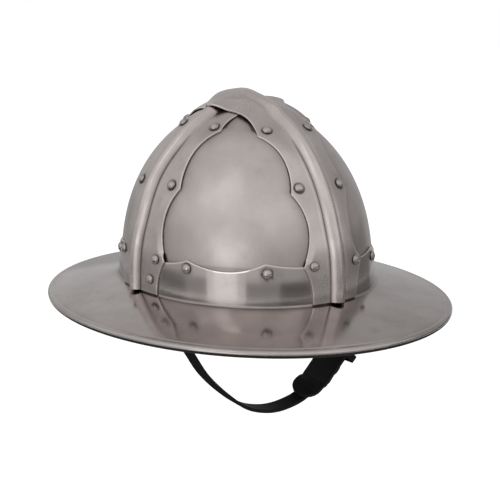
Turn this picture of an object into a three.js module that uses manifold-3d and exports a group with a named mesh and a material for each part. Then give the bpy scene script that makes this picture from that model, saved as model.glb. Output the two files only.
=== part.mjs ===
// A kettle hat in riveted steel: four skull plates under two crossing ridged bands, and a wide
// brim with an upturned collar. Inside are a leather liner and a leather chin strap with a buckle.
// Millimetres, +Z up. The wearer looks along -Y, and the wearer's right hand is at -X.
// The origin is the middle of the opening that the head fills, at the crease of the brim.

import * as THREE from "three";
import { mergeVertices } from "three/addons/utils/BufferGeometryUtils.js";
import Module from "manifold-3d";

const wasm = await Module();
wasm.setup();

// Sheet, leather and the gap that touching pieces keep
const sheet = 1.6;
const leather = 2;
const strapLeather = 3;
const gap = 0.3;
const weld = 0.001;

// Skull: the outer face of the four plates
const skullHalfWidth = 103.4;
const skullHalfLength = 118.6;
const skullHeight = 149.7;
const skullRisePower = 2.38;
const skullSpreadPower = 1.85;
const plateFootHeight = 4;
const plateTopRadius = 9;
const plateSeam = 1.2;
const plateDomeRows = 7;

// Bands: engrailed edges come to a point beside each rivet
const bandFootHeight = 3.6;
const bandHalfWidth = 28.6;
const bandPointWidthShares = [1, 0.97, 1.05];
const bandWaistWidthShares = [0.76, 0.72, 0.78, 0.81];
const crossPointHeightShares = [0.195, 0.582, 0.884];
const longPointHeightShares = [0.207, 0.58, 0.872];
const bandStepsBetweenPoints = [2, 4, 5, 5];
const crossBandShift = 6;
const crossBandStraightHeight = 85;
const crossBandReturnRun = 45;
const bandGap = 0.45;
const ridgeHalfWidth = 6.2;
const ridgeHeight = 5.6;
const ridgeSteps = 6;
const joggleRun = 12;

// Crossing at the crown: the front-to-back band lies over a ridge that is hammered flat there
const crossRidgeFadeStart = 46;
const crossRidgeFadeEnd = 8;
const crownPressHalfLength = 30;
const crownPressRun = 15;
const crownClearance = 0.3;
const ridgeCoverHalfWidth = 13;

// Brim and collar
const rimHalfWidth = 163.2;
const rimHalfLength = 189.4;
const rimDrop = 12.8;
const rimBeadRadius = 3;
const rimBeadTurnShares = [0.66, 0.38, 0.06, -0.28, -0.62, -0.94];
const rimGroove = 0.4;
const creaseRadius = 2.2;
const creaseShares = [0, 0.5, 1];
const collarGap = 0.4;
const collarPointHeight = 34;
const collarPointShares = [0, 0.277, 0.642, 1];
const collarPointHeightShares = [1, 0.985, 1.02, 1.06];
const collarWaistHeightShares = [0.85, 0.81, 0.92];
const collarStepsBetweenPoints = [4, 6, 5];

// Rivets
const rivetHeadRadius = 4;
const rivetHeadHeight = 2.7;
const rivetShankRadius = 1.9;
const rivetTailRadius = 2.8;
const rivetTailHeight = 1.1;
const rivetTailGap = 0.8;
const rivetShoulderWidthShare = 0.8;
const rivetShoulderHeightShare = 0.62;
const rivetSides = 8;
const holeRadius = 2.6;
const holeSides = 5;
const crossRivetHeightShares = [0.2004, 0.5878, 0.8884];
const crossRivetReaches = [25.4, 23.8, 22.1];
const longRivetHeightShares = [0.2104, 0.6032, 0.8818];
const longRivetReaches = [20.4, 20.2, 20.6];
const collarRivetHeight = 27;
const collarRivetShares = [0.277, 0.65];

// Liner band and its lobes
const linerFootHeight = 6;
const linerTopHeight = 46;
const linerStations = 40;
const lobeCount = 6;
const lobeLeather = 1.6;
const lobeFootHeight = 37;
const lobeCrownHeightShare = 0.748;
const lobeCrownRadius = 24;
const lobeBaseGap = 3;
const lobeTipHalfWidth = 10.5;
const lobeWaistShare = 0.5;
const lobeSewnShare = 0.12;
const lobeTipRoundShare = 0.6;
const lobeStandOffGap = 0.6;
const lobeRows = 6;
const lobeColumns = 5;
const laceRadius = 1.1;
const laceSwing = 3.2;
const laceRingRadius = 31;
const laceStepsPerLobe = 8;
const laceSides = 5;
const laceSlotHalfLength = 5.4;
const laceSlotHalfWidth = 2;

// Chin strap: it swings on two rivets that pass through the cross band's front flange
const strapRivetHeight = 13;
const strapRivetReach = 20;
const strapClearance = 1.6;
const strapWidth = 15;
const strapEndReach = 7.5;
const strapHoleRadius = 2.7;
const washerRadius = 4.4;
const washerThickness = 1;
const washerStandOff = 1.2;
const washerSteps = 5;
const strapDrop = 142;
const strapLeftPathShares = [
  [-0.985, 0.055], [-0.983, 0], [-0.965, -0.09], [-0.925, -0.2], [-0.84, -0.335],
  [-0.69, -0.493], [-0.545, -0.64], [-0.31, -0.8], [-0.1, -0.905], [0.14, -0.975],
  [0.36, -1], [0.52, -0.985],
];
const strapBuckleRunShares = [[0.65, -0.945], [1.12, -0.64]];
const strapBuckleRunSteps = 7;
const strapRightPathShares = [
  [1.155, -0.53], [1.14, -0.4], [1.09, -0.27], [1.03, -0.16], [1.004, -0.08],
  [1.017, 0], [1.017, 0.055],
];
const strapPathSamples = 400;
const stripEndShares = [0.01, 0.08, 0.25, 0.55, 1];
const stripEndFlat = 0.15;
const strapBodySteps = 26;
const strapRiseSteps = 8;
const strapChapeSteps = 7;
const tongueSteps = 2;
const tongueTipSteps = 4;

// Buckle tab, the wide piece that backs the buckle, and the chape that holds the buckle on it
const tabWidth = 24.5;
const tabTaperStart = 70;
const tabTaperRun = 30;
const tabWideSteps = 6;
const tabTaperSteps = 4;
const tabNarrowSteps = 8;
const chapeLeather = 1.6;
const chapeWidth = 13.5;
const chapeLength = 20;
const chapeSlotHalfWidth = 2.1;
const chapeSlotReach = 7;
const chapeFoldSteps = 8;

// Buckle
const heelBarAlongRun = 35;
const buckleWire = 1.5;
const buckleLength = 17;
const buckleInnerHalfWidth = 8.6;
const buckleCornerRadius = 2.6;
const buckleCornerSteps = 3;
const wireSides = 8;
const prongWire = 1.1;
const prongOverhang = 1.6;
const prongEyeSides = 8;
const prongThicknessShares = [0.5, 1, 0.95, 0.45];
const prongHoleHalfWidth = 1.7;
const prongHoleNear = -1.8;
const prongHoleFar = 14.5;
const tongueLength = 40;
const tongueTipRun = 12;
const tongueTipShare = 0.25;
const tongueSpring = 6;
const tongueSettleRun = 9;
const keeperAlong = 12;
const keeperWidth = 7;
const strapGap = 0.5;
const keeperLeather = 1.6;

// Finishes
const steelFinish = { color: 0xa39b98, roughness: 0.32, metalness: 1 };
const rivetFinish = { color: 0xb4adaa, roughness: 0.28, metalness: 1 };
const linerFinish = { color: 0x4a3528, roughness: 0.8, metalness: 0 };
const laceFinish = { color: 0x2a1f18, roughness: 0.85, metalness: 0 };
const strapFinish = { color: 0x0b0a09, roughness: 0.55, metalness: 0 };
const buckleFinish = { color: 0x8f8a84, roughness: 0.35, metalness: 1 };

const linerMiddleHeight = (linerFootHeight + linerTopHeight) / 2;
const collarCrest = collarPointHeight * Math.max(...collarPointHeightShares);
const quarterTurn = Math.PI / 2;
const fullTurn = 2 * Math.PI;
const up = new THREE.Vector3(0, 0, 1);
const drillLength = 24;
const searchSteps = 36;
const nudge = 0.001;

const hat = new THREE.Group();
hat.name = "kettle_hat";

// Blend from 0 to 1 with level ends
function ease(share) {
  const held = Math.min(Math.max(share, 0), 1);
  return held * held * (3 - 2 * held);
}

// Even steps from one value to another, both included
function evenSteps(from, to, steps) {
  return Array.from({ length: steps + 1 }, (_, step) => from + (to - from) * step / steps);
}

function addMesh(name, geometry, finish, parent = hat) {
  const mesh = new THREE.Mesh(geometry, new THREE.MeshStandardMaterial(finish));
  mesh.name = name;
  parent.add(mesh);
  return mesh;
}

// One closed body from points and triangles, turned so that its faces point out
function closedBody(points, triangles) {
  let volume = 0;
  for (const [a, b, c] of triangles) {
    volume += points[a].dot(new THREE.Vector3().crossVectors(points[b], points[c]));
  }
  const ordered = volume < 0 ? triangles.map(([a, b, c]) => [a, c, b]) : triangles;
  const geometry = new THREE.BufferGeometry().setFromPoints(points);
  geometry.setIndex(ordered.flat());
  geometry.computeVertexNormals();
  return geometry;
}

// Sheet between two grids of points with the same rows and columns
function sheetBody(outer, inner) {
  const rows = outer.length;
  const columns = outer[0].length;
  const points = [...outer.flat(), ...inner.flat()];
  const triangles = [];
  const at = (side, row, column) => side * rows * columns + row * columns + column;
  const quad = (a, b, c, d) => triangles.push([a, b, c], [a, c, d]);
  for (let row = 0; row < rows - 1; row += 1) {
    for (let column = 0; column < columns - 1; column += 1) {
      quad(at(0, row, column), at(0, row, column + 1), at(0, row + 1, column + 1), at(0, row + 1, column));
      quad(at(1, row, column), at(1, row + 1, column), at(1, row + 1, column + 1), at(1, row, column + 1));
    }
    const last = columns - 1;
    quad(at(0, row, 0), at(0, row + 1, 0), at(1, row + 1, 0), at(1, row, 0));
    quad(at(0, row, last), at(1, row, last), at(1, row + 1, last), at(0, row + 1, last));
  }
  for (let column = 0; column < columns - 1; column += 1) {
    const last = rows - 1;
    quad(at(0, 0, column), at(1, 0, column), at(1, 0, column + 1), at(0, 0, column + 1));
    quad(at(0, last, column), at(0, last, column + 1), at(1, last, column + 1), at(1, last, column));
  }
  return closedBody(points, triangles);
}

// Skin over loops of points; the row of loops closes on itself or is capped at both ends
function loftBody(loops, joined) {
  const size = loops[0].length;
  const triangles = [];
  const count = joined ? loops.length : loops.length - 1;
  for (let loop = 0; loop < count; loop += 1) {
    const next = (loop + 1) % loops.length;
    for (let k = 0; k < size; k += 1) {
      const after = (k + 1) % size;
      triangles.push([loop * size + k, loop * size + after, next * size + after]);
      triangles.push([loop * size + k, next * size + after, next * size + k]);
    }
  }
  if (!joined) {
    const last = (loops.length - 1) * size;
    for (let k = 1; k < size - 1; k += 1) {
      triangles.push([0, k + 1, k]);
      triangles.push([last, last + k, last + k + 1]);
    }
  }
  return closedBody(loops.flat(), triangles);
}

function toSolid(geometry) {
  const bare = geometry.index ? geometry.toNonIndexed() : geometry.clone();
  bare.deleteAttribute("normal");
  bare.deleteAttribute("uv");
  const merged = mergeVertices(bare, weld);
  const vertProperties = merged.attributes.position.array;
  const triVerts = new Uint32Array(merged.index.array);
  return new wasm.Manifold(new wasm.Mesh({ numProp: 3, vertProperties, triVerts }));
}

function toGeometry(solid) {
  const mesh = solid.getMesh();
  const geometry = new THREE.BufferGeometry();
  geometry.setAttribute("position", new THREE.BufferAttribute(mesh.vertProperties, 3));
  geometry.setIndex(new THREE.BufferAttribute(mesh.triVerts, 1));
  geometry.computeVertexNormals();
  return geometry;
}

function cutAway(geometry, cutters) {
  let solid = toSolid(geometry);
  for (const cutter of cutters) {
    solid = solid.subtract(toSolid(cutter));
  }
  return toGeometry(solid);
}

// Cylinder along a direction, centred on a point
function drillAt(point, direction, radius) {
  const cutter = new THREE.CylinderGeometry(radius, radius, drillLength, holeSides);
  cutter.rotateX(quarterTurn);
  cutter.applyQuaternion(new THREE.Quaternion().setFromUnitVectors(up, direction));
  cutter.translate(point.x, point.y, point.z);
  return cutter;
}

// Skull surface. A rise angle runs from 0 at the foot to a quarter turn at the apex.
function riseAt(height) {
  return Math.asin((height / skullHeight) ** (skullRisePower / 2));
}

function heightAtRise(rise) {
  return skullHeight * Math.sin(rise) ** (2 / skullRisePower);
}

function spreadAtRise(rise) {
  return Math.max(Math.cos(rise), 0) ** (2 / skullSpreadPower);
}

function skullPoint(angle, height) {
  const spread = spreadAtRise(riseAt(height));
  const x = skullHalfWidth * spread * Math.cos(angle);
  const y = skullHalfLength * spread * Math.sin(angle);
  return new THREE.Vector3(x, y, height);
}

// Below 0 inside the skull, above 0 outside
function skullSide(point) {
  const spread = Math.hypot(point.x / skullHalfWidth, point.y / skullHalfLength);
  const rise = Math.max(point.z, 0) / skullHeight;
  return spread ** skullSpreadPower + rise ** skullRisePower - 1;
}

function skullNormal(point) {
  const spread = Math.max(Math.hypot(point.x / skullHalfWidth, point.y / skullHalfLength), weld);
  const across = skullSpreadPower * spread ** (skullSpreadPower - 2);
  const rise = Math.max(point.z, 0) / skullHeight;
  return new THREE.Vector3(
    across * point.x / skullHalfWidth ** 2,
    across * point.y / skullHalfLength ** 2,
    skullRisePower * rise ** (skullRisePower - 1) / skullHeight,
  ).normalize();
}

function raised(point, height) {
  return point.clone().addScaledVector(skullNormal(point), height);
}

// How far the side-to-side band lies behind the middle of the skull, below its return to the crown
function crossShiftAt(height) {
  return crossBandShift * (1 - ease((height - crossBandStraightHeight) / crossBandReturnRun));
}

// The two bands: each runs over the skull through the crown, from foot to foot
const crossBand = {
  name: "cross",
  ends: ["right", "left"],
  flanks: ["front", "rear"],
  reach: skullHalfWidth,
  pointHeightShares: crossPointHeightShares,
  rivetHeightShares: crossRivetHeightShares,
  rivetReaches: crossRivetReaches,
  shiftAt: crossShiftAt,
  place: (along, across, height) => new THREE.Vector3(along, across, height),
};
const longBand = {
  name: "long",
  ends: ["front", "rear"],
  flanks: ["right", "left"],
  reach: skullHalfLength,
  pointHeightShares: longPointHeightShares,
  rivetHeightShares: longRivetHeightShares,
  rivetReaches: longRivetReaches,
  shiftAt: () => 0,
  place: (along, across, height) => new THREE.Vector3(across, along, height),
};

// Skull point at a rise angle on one end of a band, some way across from the band's centre line
function bandPoint(band, end, rise, across) {
  const height = heightAtRise(rise);
  const centre = band.place(end * band.reach * spreadAtRise(rise), 0, height);
  const drop = skullNormal(centre);
  const sideways = across + band.shiftAt(height);
  const start = centre.clone().add(band.place(0, sideways, 0));
  let near = 0;
  let far = Math.abs(sideways) + weld;
  for (let step = 0; step < searchSteps; step += 1) {
    const middle = (near + far) / 2;
    const outside = skullSide(start.clone().addScaledVector(drop, -middle)) > 0;
    near = outside ? middle : near;
    far = outside ? far : middle;
  }
  return start.addScaledVector(drop, -(near + far) / 2);
}

// Rise angles of a band's foot, its points and the apex
function bandKeys(band) {
  const points = band.pointHeightShares.map((share) => riseAt(share * skullHeight));
  return [riseAt(bandFootHeight), ...points, quarterTurn];
}

// Half width of a band at a rise angle: points beside the rivets, with hollow arcs between them.
// A band is wider where it lies behind the middle.
function bandHalfWidthAt(band, rise) {
  const keys = bandKeys(band);
  let arc = 0;
  while (arc < keys.length - 2 && rise > keys[arc + 1]) arc += 1;
  const share = (rise - keys[arc]) / (keys[arc + 1] - keys[arc]);
  const waist = bandWaistWidthShares[arc];
  const foot = arc === 0;
  const crown = arc === keys.length - 2;
  const point = foot || (share > 0.5 && !crown) ? bandPointWidthShares[arc] : bandPointWidthShares[arc - 1];
  let curve = (2 * share - 1) ** 2;
  if (foot) curve = share ** 2;
  if (crown) curve = (1 - share) ** 2;
  return bandHalfWidth * (waist + (point - waist) * curve) + band.shiftAt(heightAtRise(rise));
}

// Rise angles of the rows of a band, with two more where it steps off the collar
function bandRises(band) {
  const keys = bandKeys(band);
  const rises = [riseAt(collarCrest + gap), riseAt(collarCrest + gap + joggleRun)];
  for (let arc = 0; arc < keys.length - 1; arc += 1) {
    const steps = bandStepsBetweenPoints[arc];
    for (let step = 0; step < steps; step += 1) {
      rises.push(keys[arc] + (keys[arc + 1] - keys[arc]) * step / steps);
    }
  }
  return [...rises, quarterTurn].sort((a, b) => a - b);
}

// Top of the collar at an angle round the base, in arches between points
function collarTopAt(angle) {
  const folded = Math.abs(Math.atan2(Math.abs(Math.sin(angle)), Math.abs(Math.cos(angle))));
  const share = folded / quarterTurn;
  let arch = 0;
  while (arch < collarWaistHeightShares.length - 1 && share > collarPointShares[arch + 1]) arch += 1;
  const along = (share - collarPointShares[arch]) / (collarPointShares[arch + 1] - collarPointShares[arch]);
  const waist = collarWaistHeightShares[arch];
  const point = along > 0.5 ? collarPointHeightShares[arch + 1] : collarPointHeightShares[arch];
  return collarPointHeight * (waist + (point - waist) * (2 * along - 1) ** 2);
}

// How far the inner face of a band stands off the skull, to clear the collar
function collarStep(height) {
  return (sheet + gap) * (1 - ease((height - collarCrest - gap) / joggleRun));
}

// Height of the side-to-side ridge, which sinks towards the crossing
function crossRidgeHeight(x) {
  const share = (Math.abs(x) - crossRidgeFadeEnd) / (crossRidgeFadeStart - crossRidgeFadeEnd);
  return ridgeHeight * ease(share);
}

function ridgeShape(across, halfWidth) {
  if (Math.abs(across) >= halfWidth) return 0;
  return (1 + Math.cos(Math.PI * across / halfWidth)) / 2;
}

// Stand-off of the inner face of each band's flanges above the skull
function crossStandOff(point) {
  return bandGap + collarStep(point.z);
}

function longStandOff(point) {
  if (point.z < skullHeight / 2) return bandGap + collarStep(point.z);
  const press = 1 - ease((Math.abs(point.y) - crownPressHalfLength) / crownPressRun);
  const cover = crossRidgeHeight(point.x) * ridgeShape(point.y, ridgeCoverHalfWidth);
  return bandGap + (sheet + bandGap + crownClearance) * press + cover;
}

crossBand.standOff = crossStandOff;
crossBand.ridgeAt = (point) => crossRidgeHeight(point.x);
longBand.standOff = longStandOff;
longBand.ridgeAt = () => ridgeHeight;

// Inner and outer point of a band where its sheet is some way across from the centre plane
function bandSheetPoints(band, end, rise, across) {
  const under = bandPoint(band, end, rise, across);
  const ridge = band.ridgeAt(under);
  const lift = ridge * ridgeShape(across, ridgeHalfWidth);
  const onRidge = Math.abs(across) < ridgeHalfWidth;
  const slope = onRidge
    ? -ridge * Math.PI / (2 * ridgeHalfWidth) * Math.sin(Math.PI * across / ridgeHalfWidth)
    : 0;
  const steep = Math.hypot(1, slope);
  const over = bandPoint(band, end, rise, across - sheet * slope / steep);
  return {
    inner: raised(under, band.standOff(under) + lift),
    outer: raised(over, band.standOff(under) + lift + sheet / steep),
  };
}

function bandColumns(halfWidth) {
  const columns = [-halfWidth, -(halfWidth + ridgeHalfWidth) / 2];
  for (let step = 0; step <= ridgeSteps; step += 1) {
    columns.push(ridgeHalfWidth * (2 * step / ridgeSteps - 1));
  }
  return [...columns, (halfWidth + ridgeHalfWidth) / 2, halfWidth];
}

// Places of the rivets that hold a band, with the direction of each
function bandRivets(band) {
  const places = [];
  [-1, 1].forEach((end, endIndex) => {
    [-1, 1].forEach((flank, flankIndex) => {
      band.rivetHeightShares.forEach((share, level) => {
        const height = share * skullHeight;
        const point = bandPoint(band, end, riseAt(height), flank * band.rivetReaches[level]);
        places.push({
          name: `${band.name}_band_rivet_${band.ends[endIndex]}_${band.flanks[flankIndex]}_${level + 1}`,
          point,
          direction: skullNormal(point),
          standOff: band.standOff(point),
          low: height < linerTopHeight,
        });
      });
    });
  });
  return places;
}

function collarRivets() {
  const places = [];
  for (const endSign of [-1, 1]) {
    for (const sideSign of [-1, 1]) {
      collarRivetShares.forEach((share, index) => {
        const turn = share * quarterTurn;
        const angle = Math.atan2(endSign * Math.sin(turn), sideSign * Math.cos(turn));
        const point = skullPoint(angle, collarRivetHeight);
        const end = endSign < 0 ? "front" : "rear";
        const side = sideSign < 0 ? "right" : "left";
        places.push({
          name: `collar_rivet_${end}_${side}_${index + 1}`,
          point,
          direction: skullNormal(point),
          standOff: collarGap,
          low: true,
        });
      });
    }
  }
  return places;
}

function strapRivets() {
  return [-1, 1].map((end) => {
    const point = bandPoint(crossBand, end, riseAt(strapRivetHeight), -strapRivetReach);
    return {
      name: end < 0 ? "strap_rivet_right" : "strap_rivet_left",
      end,
      point,
      direction: skullNormal(point),
      standOff: crossStandOff(point),
    };
  });
}

const crossRivetPlaces = bandRivets(crossBand);
const longRivetPlaces = bandRivets(longBand);
const collarRivetPlaces = collarRivets();
const strapRivetPlaces = strapRivets();
const allRivetPlaces = [...crossRivetPlaces, ...longRivetPlaces, ...collarRivetPlaces, ...strapRivetPlaces];

function rivetHoles(places) {
  return places.map((place) => drillAt(place.point, place.direction, holeRadius));
}

// One skull plate: a quarter of the skull, from behind the collar to the crossing of the bands
function makePlate(name, sideSign, endSign) {
  const columns = linerStations / 4 + 1;
  const top = Math.acos((plateTopRadius / skullHalfWidth) ** (skullSpreadPower / 2));
  const foot = riseAt(linerTopHeight);
  const dome = evenSteps(foot, top, plateDomeRows);
  const rises = [riseAt(plateFootHeight), riseAt(linerMiddleHeight), ...dome];
  const outer = [];
  const inner = [];
  for (const rise of rises) {
    const share = spreadAtRise(rise);
    const first = Math.asin(plateSeam / 2 / (skullHalfLength * share));
    const last = Math.acos(plateSeam / 2 / (skullHalfWidth * share));
    const row = evenSteps(first, last, columns - 1).map((turn) => new THREE.Vector3(
      sideSign * skullHalfWidth * share * Math.cos(turn),
      endSign * skullHalfLength * share * Math.sin(turn),
      heightAtRise(rise),
    ));
    outer.push(row);
    inner.push(row.map((point) => raised(point, -sheet)));
  }
  const near = allRivetPlaces.filter(({ point }) => point.x * sideSign > 0 && point.y * endSign > 0);
  addMesh(name, cutAway(sheetBody(outer, inner), rivetHoles(near)), steelFinish);
}

// One ridged band, from foot to foot over the crown
function makeBand(band, places) {
  const rises = bandRises(band);
  const outer = [];
  const inner = [];
  const addRow = (end, rise) => {
    const columns = bandColumns(bandHalfWidthAt(band, rise));
    const pairs = columns.map((across) => bandSheetPoints(band, end, rise, across));
    outer.push(pairs.map((pair) => pair.outer));
    inner.push(pairs.map((pair) => pair.inner));
  };
  rises.forEach((rise) => addRow(-1, rise));
  rises.slice(0, -1).reverse().forEach((rise) => addRow(1, rise));
  addMesh(`${band.name}_band`, cutAway(sheetBody(outer, inner), rivetHoles(places)), steelFinish);
}

// Angles round the base that meet every point of the collar's edge
function brimAngles() {
  const shares = [];
  for (let arch = 0; arch < collarStepsBetweenPoints.length; arch += 1) {
    const from = collarPointShares[arch];
    const to = collarPointShares[arch + 1];
    const steps = collarStepsBetweenPoints[arch];
    for (let step = 0; step < steps; step += 1) shares.push(from + (to - from) * step / steps);
  }
  const quarter = shares.map((share) => share * quarterTurn);
  const back = [quarterTurn, ...quarter.slice(1).reverse()].map((angle) => Math.PI - angle);
  const half = [...quarter, ...back];
  return [...half, ...half.map((angle) => angle + Math.PI)];
}

// Closed outline of the brim and collar at one angle: up the collar inside, down it outside,
// over the crease, along the brim, round the roll that hangs under its rim, and back underneath
function brimOutline(angle) {
  const base = new THREE.Vector3(skullHalfWidth * Math.cos(angle), skullHalfLength * Math.sin(angle), 0);
  const outward = skullNormal(base);
  const rim = new THREE.Vector3(rimHalfWidth * Math.cos(angle), rimHalfLength * Math.sin(angle), -rimDrop);
  const heart = base.clone().addScaledVector(outward, collarGap + sheet + creaseRadius);
  heart.z = creaseRadius;
  const reach = Math.hypot(rim.x - heart.x, rim.y - heart.y);
  const fall = Math.atan2(rimDrop, reach);
  const over = new THREE.Vector3(rim.x - heart.x, rim.y - heart.y, 0).normalize();
  const along = over.clone().multiplyScalar(Math.cos(fall)).addScaledVector(up, -Math.sin(fall));
  const rising = over.clone().multiplyScalar(Math.sin(fall)).addScaledVector(up, Math.cos(fall));
  const collar = (height, offset) => raised(skullPoint(angle, height), offset);
  const crease = (radius, turn) => heart.clone()
    .addScaledVector(outward, -radius * Math.cos(turn))
    .addScaledVector(up, -radius * Math.sin(turn));
  const top = collarTopAt(angle);
  const lastTurn = quarterTurn - fall;
  const brimLine = (offset, share) => heart.clone()
    .addScaledVector(rising, offset - creaseRadius)
    .addScaledVector(along, reach / Math.cos(fall) * share);
  const beadHeart = brimLine(-rimBeadRadius, 1);
  const bead = (turn) => beadHeart.clone()
    .addScaledVector(along, rimBeadRadius * Math.cos(turn))
    .addScaledVector(rising, rimBeadRadius * Math.sin(turn));
  const grooveShare = 1 - rimBeadRadius / reach;
  const outline = [];
  outline.push(collar(top, collarGap + sheet));
  outline.push(collar((top + creaseRadius) / 2, collarGap + sheet));
  for (const share of creaseShares) outline.push(crease(creaseRadius, lastTurn * share));
  outline.push(brimLine(0, grooveShare - rimGroove * 2 / reach));
  outline.push(brimLine(-rimGroove, grooveShare - rimGroove / reach));
  for (const share of rimBeadTurnShares) outline.push(bead(share * Math.PI));
  outline.push(brimLine(-sheet, grooveShare));
  outline.push(crease(creaseRadius + sheet, lastTurn), crease(creaseRadius + sheet, 0));
  outline.push(collar((top + creaseRadius) / 2, collarGap));
  outline.push(collar(top, collarGap));
  return outline;
}

function makeBrim() {
  const body = loftBody(brimAngles().map(brimOutline), true);
  const low = [...crossRivetPlaces, ...longRivetPlaces].filter((place) => place.low);
  const through = [...low, ...collarRivetPlaces, ...strapRivetPlaces];
  addMesh("brim", cutAway(body, rivetHoles(through)), steelFinish);
}

// Domed rivet along +Z. The head sits at headSeat and the peened tail at tailSeat, below it.
function rivetGeometry(headSeat, tailSeat) {
  const profile = [
    [0, tailSeat - rivetTailHeight],
    [rivetTailRadius, tailSeat],
    [rivetShankRadius, tailSeat],
    [rivetShankRadius, headSeat],
    [rivetHeadRadius, headSeat],
    [rivetHeadRadius * rivetShoulderWidthShare, headSeat + rivetHeadHeight * rivetShoulderHeightShare],
    [0, headSeat + rivetHeadHeight],
  ];
  const geometry = new THREE.LatheGeometry(profile.map(([x, y]) => new THREE.Vector2(x, y)), rivetSides);
  geometry.rotateX(quarterTurn);
  return geometry;
}

function addRivet(place, tailSeat) {
  const mesh = addMesh(place.name, rivetGeometry(place.standOff + sheet + gap, tailSeat), rivetFinish);
  mesh.position.copy(place.point);
  mesh.quaternion.setFromUnitVectors(up, place.direction);
}

function makeRivets() {
  const plateBack = -sheet - rivetTailGap;
  const linerBack = -sheet - gap - leather - rivetTailGap;
  for (const place of [...crossRivetPlaces, ...longRivetPlaces, ...collarRivetPlaces]) {
    addRivet(place, place.low ? linerBack : plateBack);
  }
}

makePlate("skull_plate_front_right", -1, -1);
makePlate("skull_plate_front_left", 1, -1);
makePlate("skull_plate_rear_right", -1, 1);
makePlate("skull_plate_rear_left", 1, 1);
makeBand(crossBand, [...crossRivetPlaces, ...strapRivetPlaces]);
makeBand(longBand, longRivetPlaces);
makeBrim();
makeRivets();

// Liner band: a ring of leather behind the foot of the plates
function makeLinerBand() {
  const loops = [];
  const heights = [linerFootHeight, linerMiddleHeight, linerTopHeight];
  const outside = -sheet - gap;
  for (let station = 0; station < linerStations; station += 1) {
    const angle = fullTurn * station / linerStations;
    const front = heights.map((height) => raised(skullPoint(angle, height), outside));
    const back = heights.map((height) => raised(skullPoint(angle, height), outside - leather));
    loops.push([...front, ...back.reverse()]);
  }
  const through = allRivetPlaces.filter((place) => place.low !== false);
  addMesh("liner_band", cutAway(loftBody(loops, true), rivetHoles(through)), linerFinish);
}

// Point of the liner's dome, where share runs from the lobes' foot to their tips
const lobeCrownHeight = lobeCrownHeightShare * skullHeight;
const lobeStandOff = -sheet - gap - leather - lobeStandOffGap;
const lobeTurnEnd = Math.acos(lobeCrownRadius / skullHalfWidth);

function domePoint(angle, share, depth) {
  if (share < lobeSewnShare) {
    const height = lobeFootHeight + (linerTopHeight - lobeFootHeight) * share / lobeSewnShare;
    return raised(skullPoint(angle, height), lobeStandOff - depth);
  }
  const base = raised(skullPoint(angle, linerTopHeight), lobeStandOff - depth);
  const turn = lobeTurnEnd * (share - lobeSewnShare) / (1 - lobeSewnShare);
  const rise = (lobeCrownHeight - linerTopHeight) / Math.sin(lobeTurnEnd);
  const height = linerTopHeight + (rise - depth) * Math.sin(turn);
  return new THREE.Vector3(base.x * Math.cos(turn), base.y * Math.cos(turn), height);
}

// Half angle of a lobe: full at the foot, narrow past its shoulder, and rounded at the tip
function lobeHalfAngle(share) {
  const full = Math.PI / lobeCount - lobeBaseGap / skullHalfWidth;
  const turn = lobeTurnEnd * Math.max(share - lobeSewnShare, 0) / (1 - lobeSewnShare);
  const radius = skullHalfWidth * Math.cos(turn);
  const straight = full * skullHalfWidth;
  const narrowed = straight + (lobeTipHalfWidth - straight) * ease((share - lobeSewnShare) / lobeWaistShare);
  const limit = Math.min(narrowed, full * radius);
  const tip = share < 1 ? 1 : lobeTipRoundShare;
  return limit * tip / radius;
}

function laceSlot(angle) {
  const share = lobeShareAtRadius(laceRingRadius, angle);
  const point = domePoint(angle, share, lobeLeather / 2);
  const along = domePoint(angle + nudge, share, lobeLeather / 2).sub(point).normalize();
  const inward = domePoint(angle, share + nudge, lobeLeather / 2).sub(point).normalize();
  const through = new THREE.Vector3().crossVectors(along, inward).normalize();
  const box = new THREE.BoxGeometry(2 * laceSlotHalfLength, 2 * laceSlotHalfWidth, drillLength / 2);
  const frame = new THREE.Matrix4().makeBasis(along, inward, through).setPosition(point);
  return box.applyMatrix4(frame);
}

// Share of the way up a lobe at which its middle is a given distance from the axis
function lobeShareAtRadius(radius, angle) {
  let low = lobeSewnShare;
  let high = 1;
  for (let step = 0; step < searchSteps; step += 1) {
    const middle = (low + high) / 2;
    const point = domePoint(angle, middle, lobeLeather / 2);
    if (Math.hypot(point.x, point.y) > radius) low = middle;
    else high = middle;
  }
  return (low + high) / 2;
}

function makeLobe(index) {
  const centre = fullTurn * (index + 0.5) / lobeCount;
  const rowShares = [0, lobeSewnShare];
  for (let row = 1; row < lobeRows; row += 1) {
    rowShares.push(lobeSewnShare + (1 - lobeSewnShare) * row / (lobeRows - 1));
  }
  const grid = (depth) => rowShares.map((share) => {
    const half = lobeHalfAngle(share);
    const line = [];
    for (let column = 0; column < lobeColumns; column += 1) {
      line.push(domePoint(centre + half * (2 * column / (lobeColumns - 1) - 1), share, depth));
    }
    return line;
  });
  const body = cutAway(sheetBody(grid(0), grid(lobeLeather)), [laceSlot(centre)]);
  addMesh(`liner_lobe_${index + 1}`, body, linerFinish);
}

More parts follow.
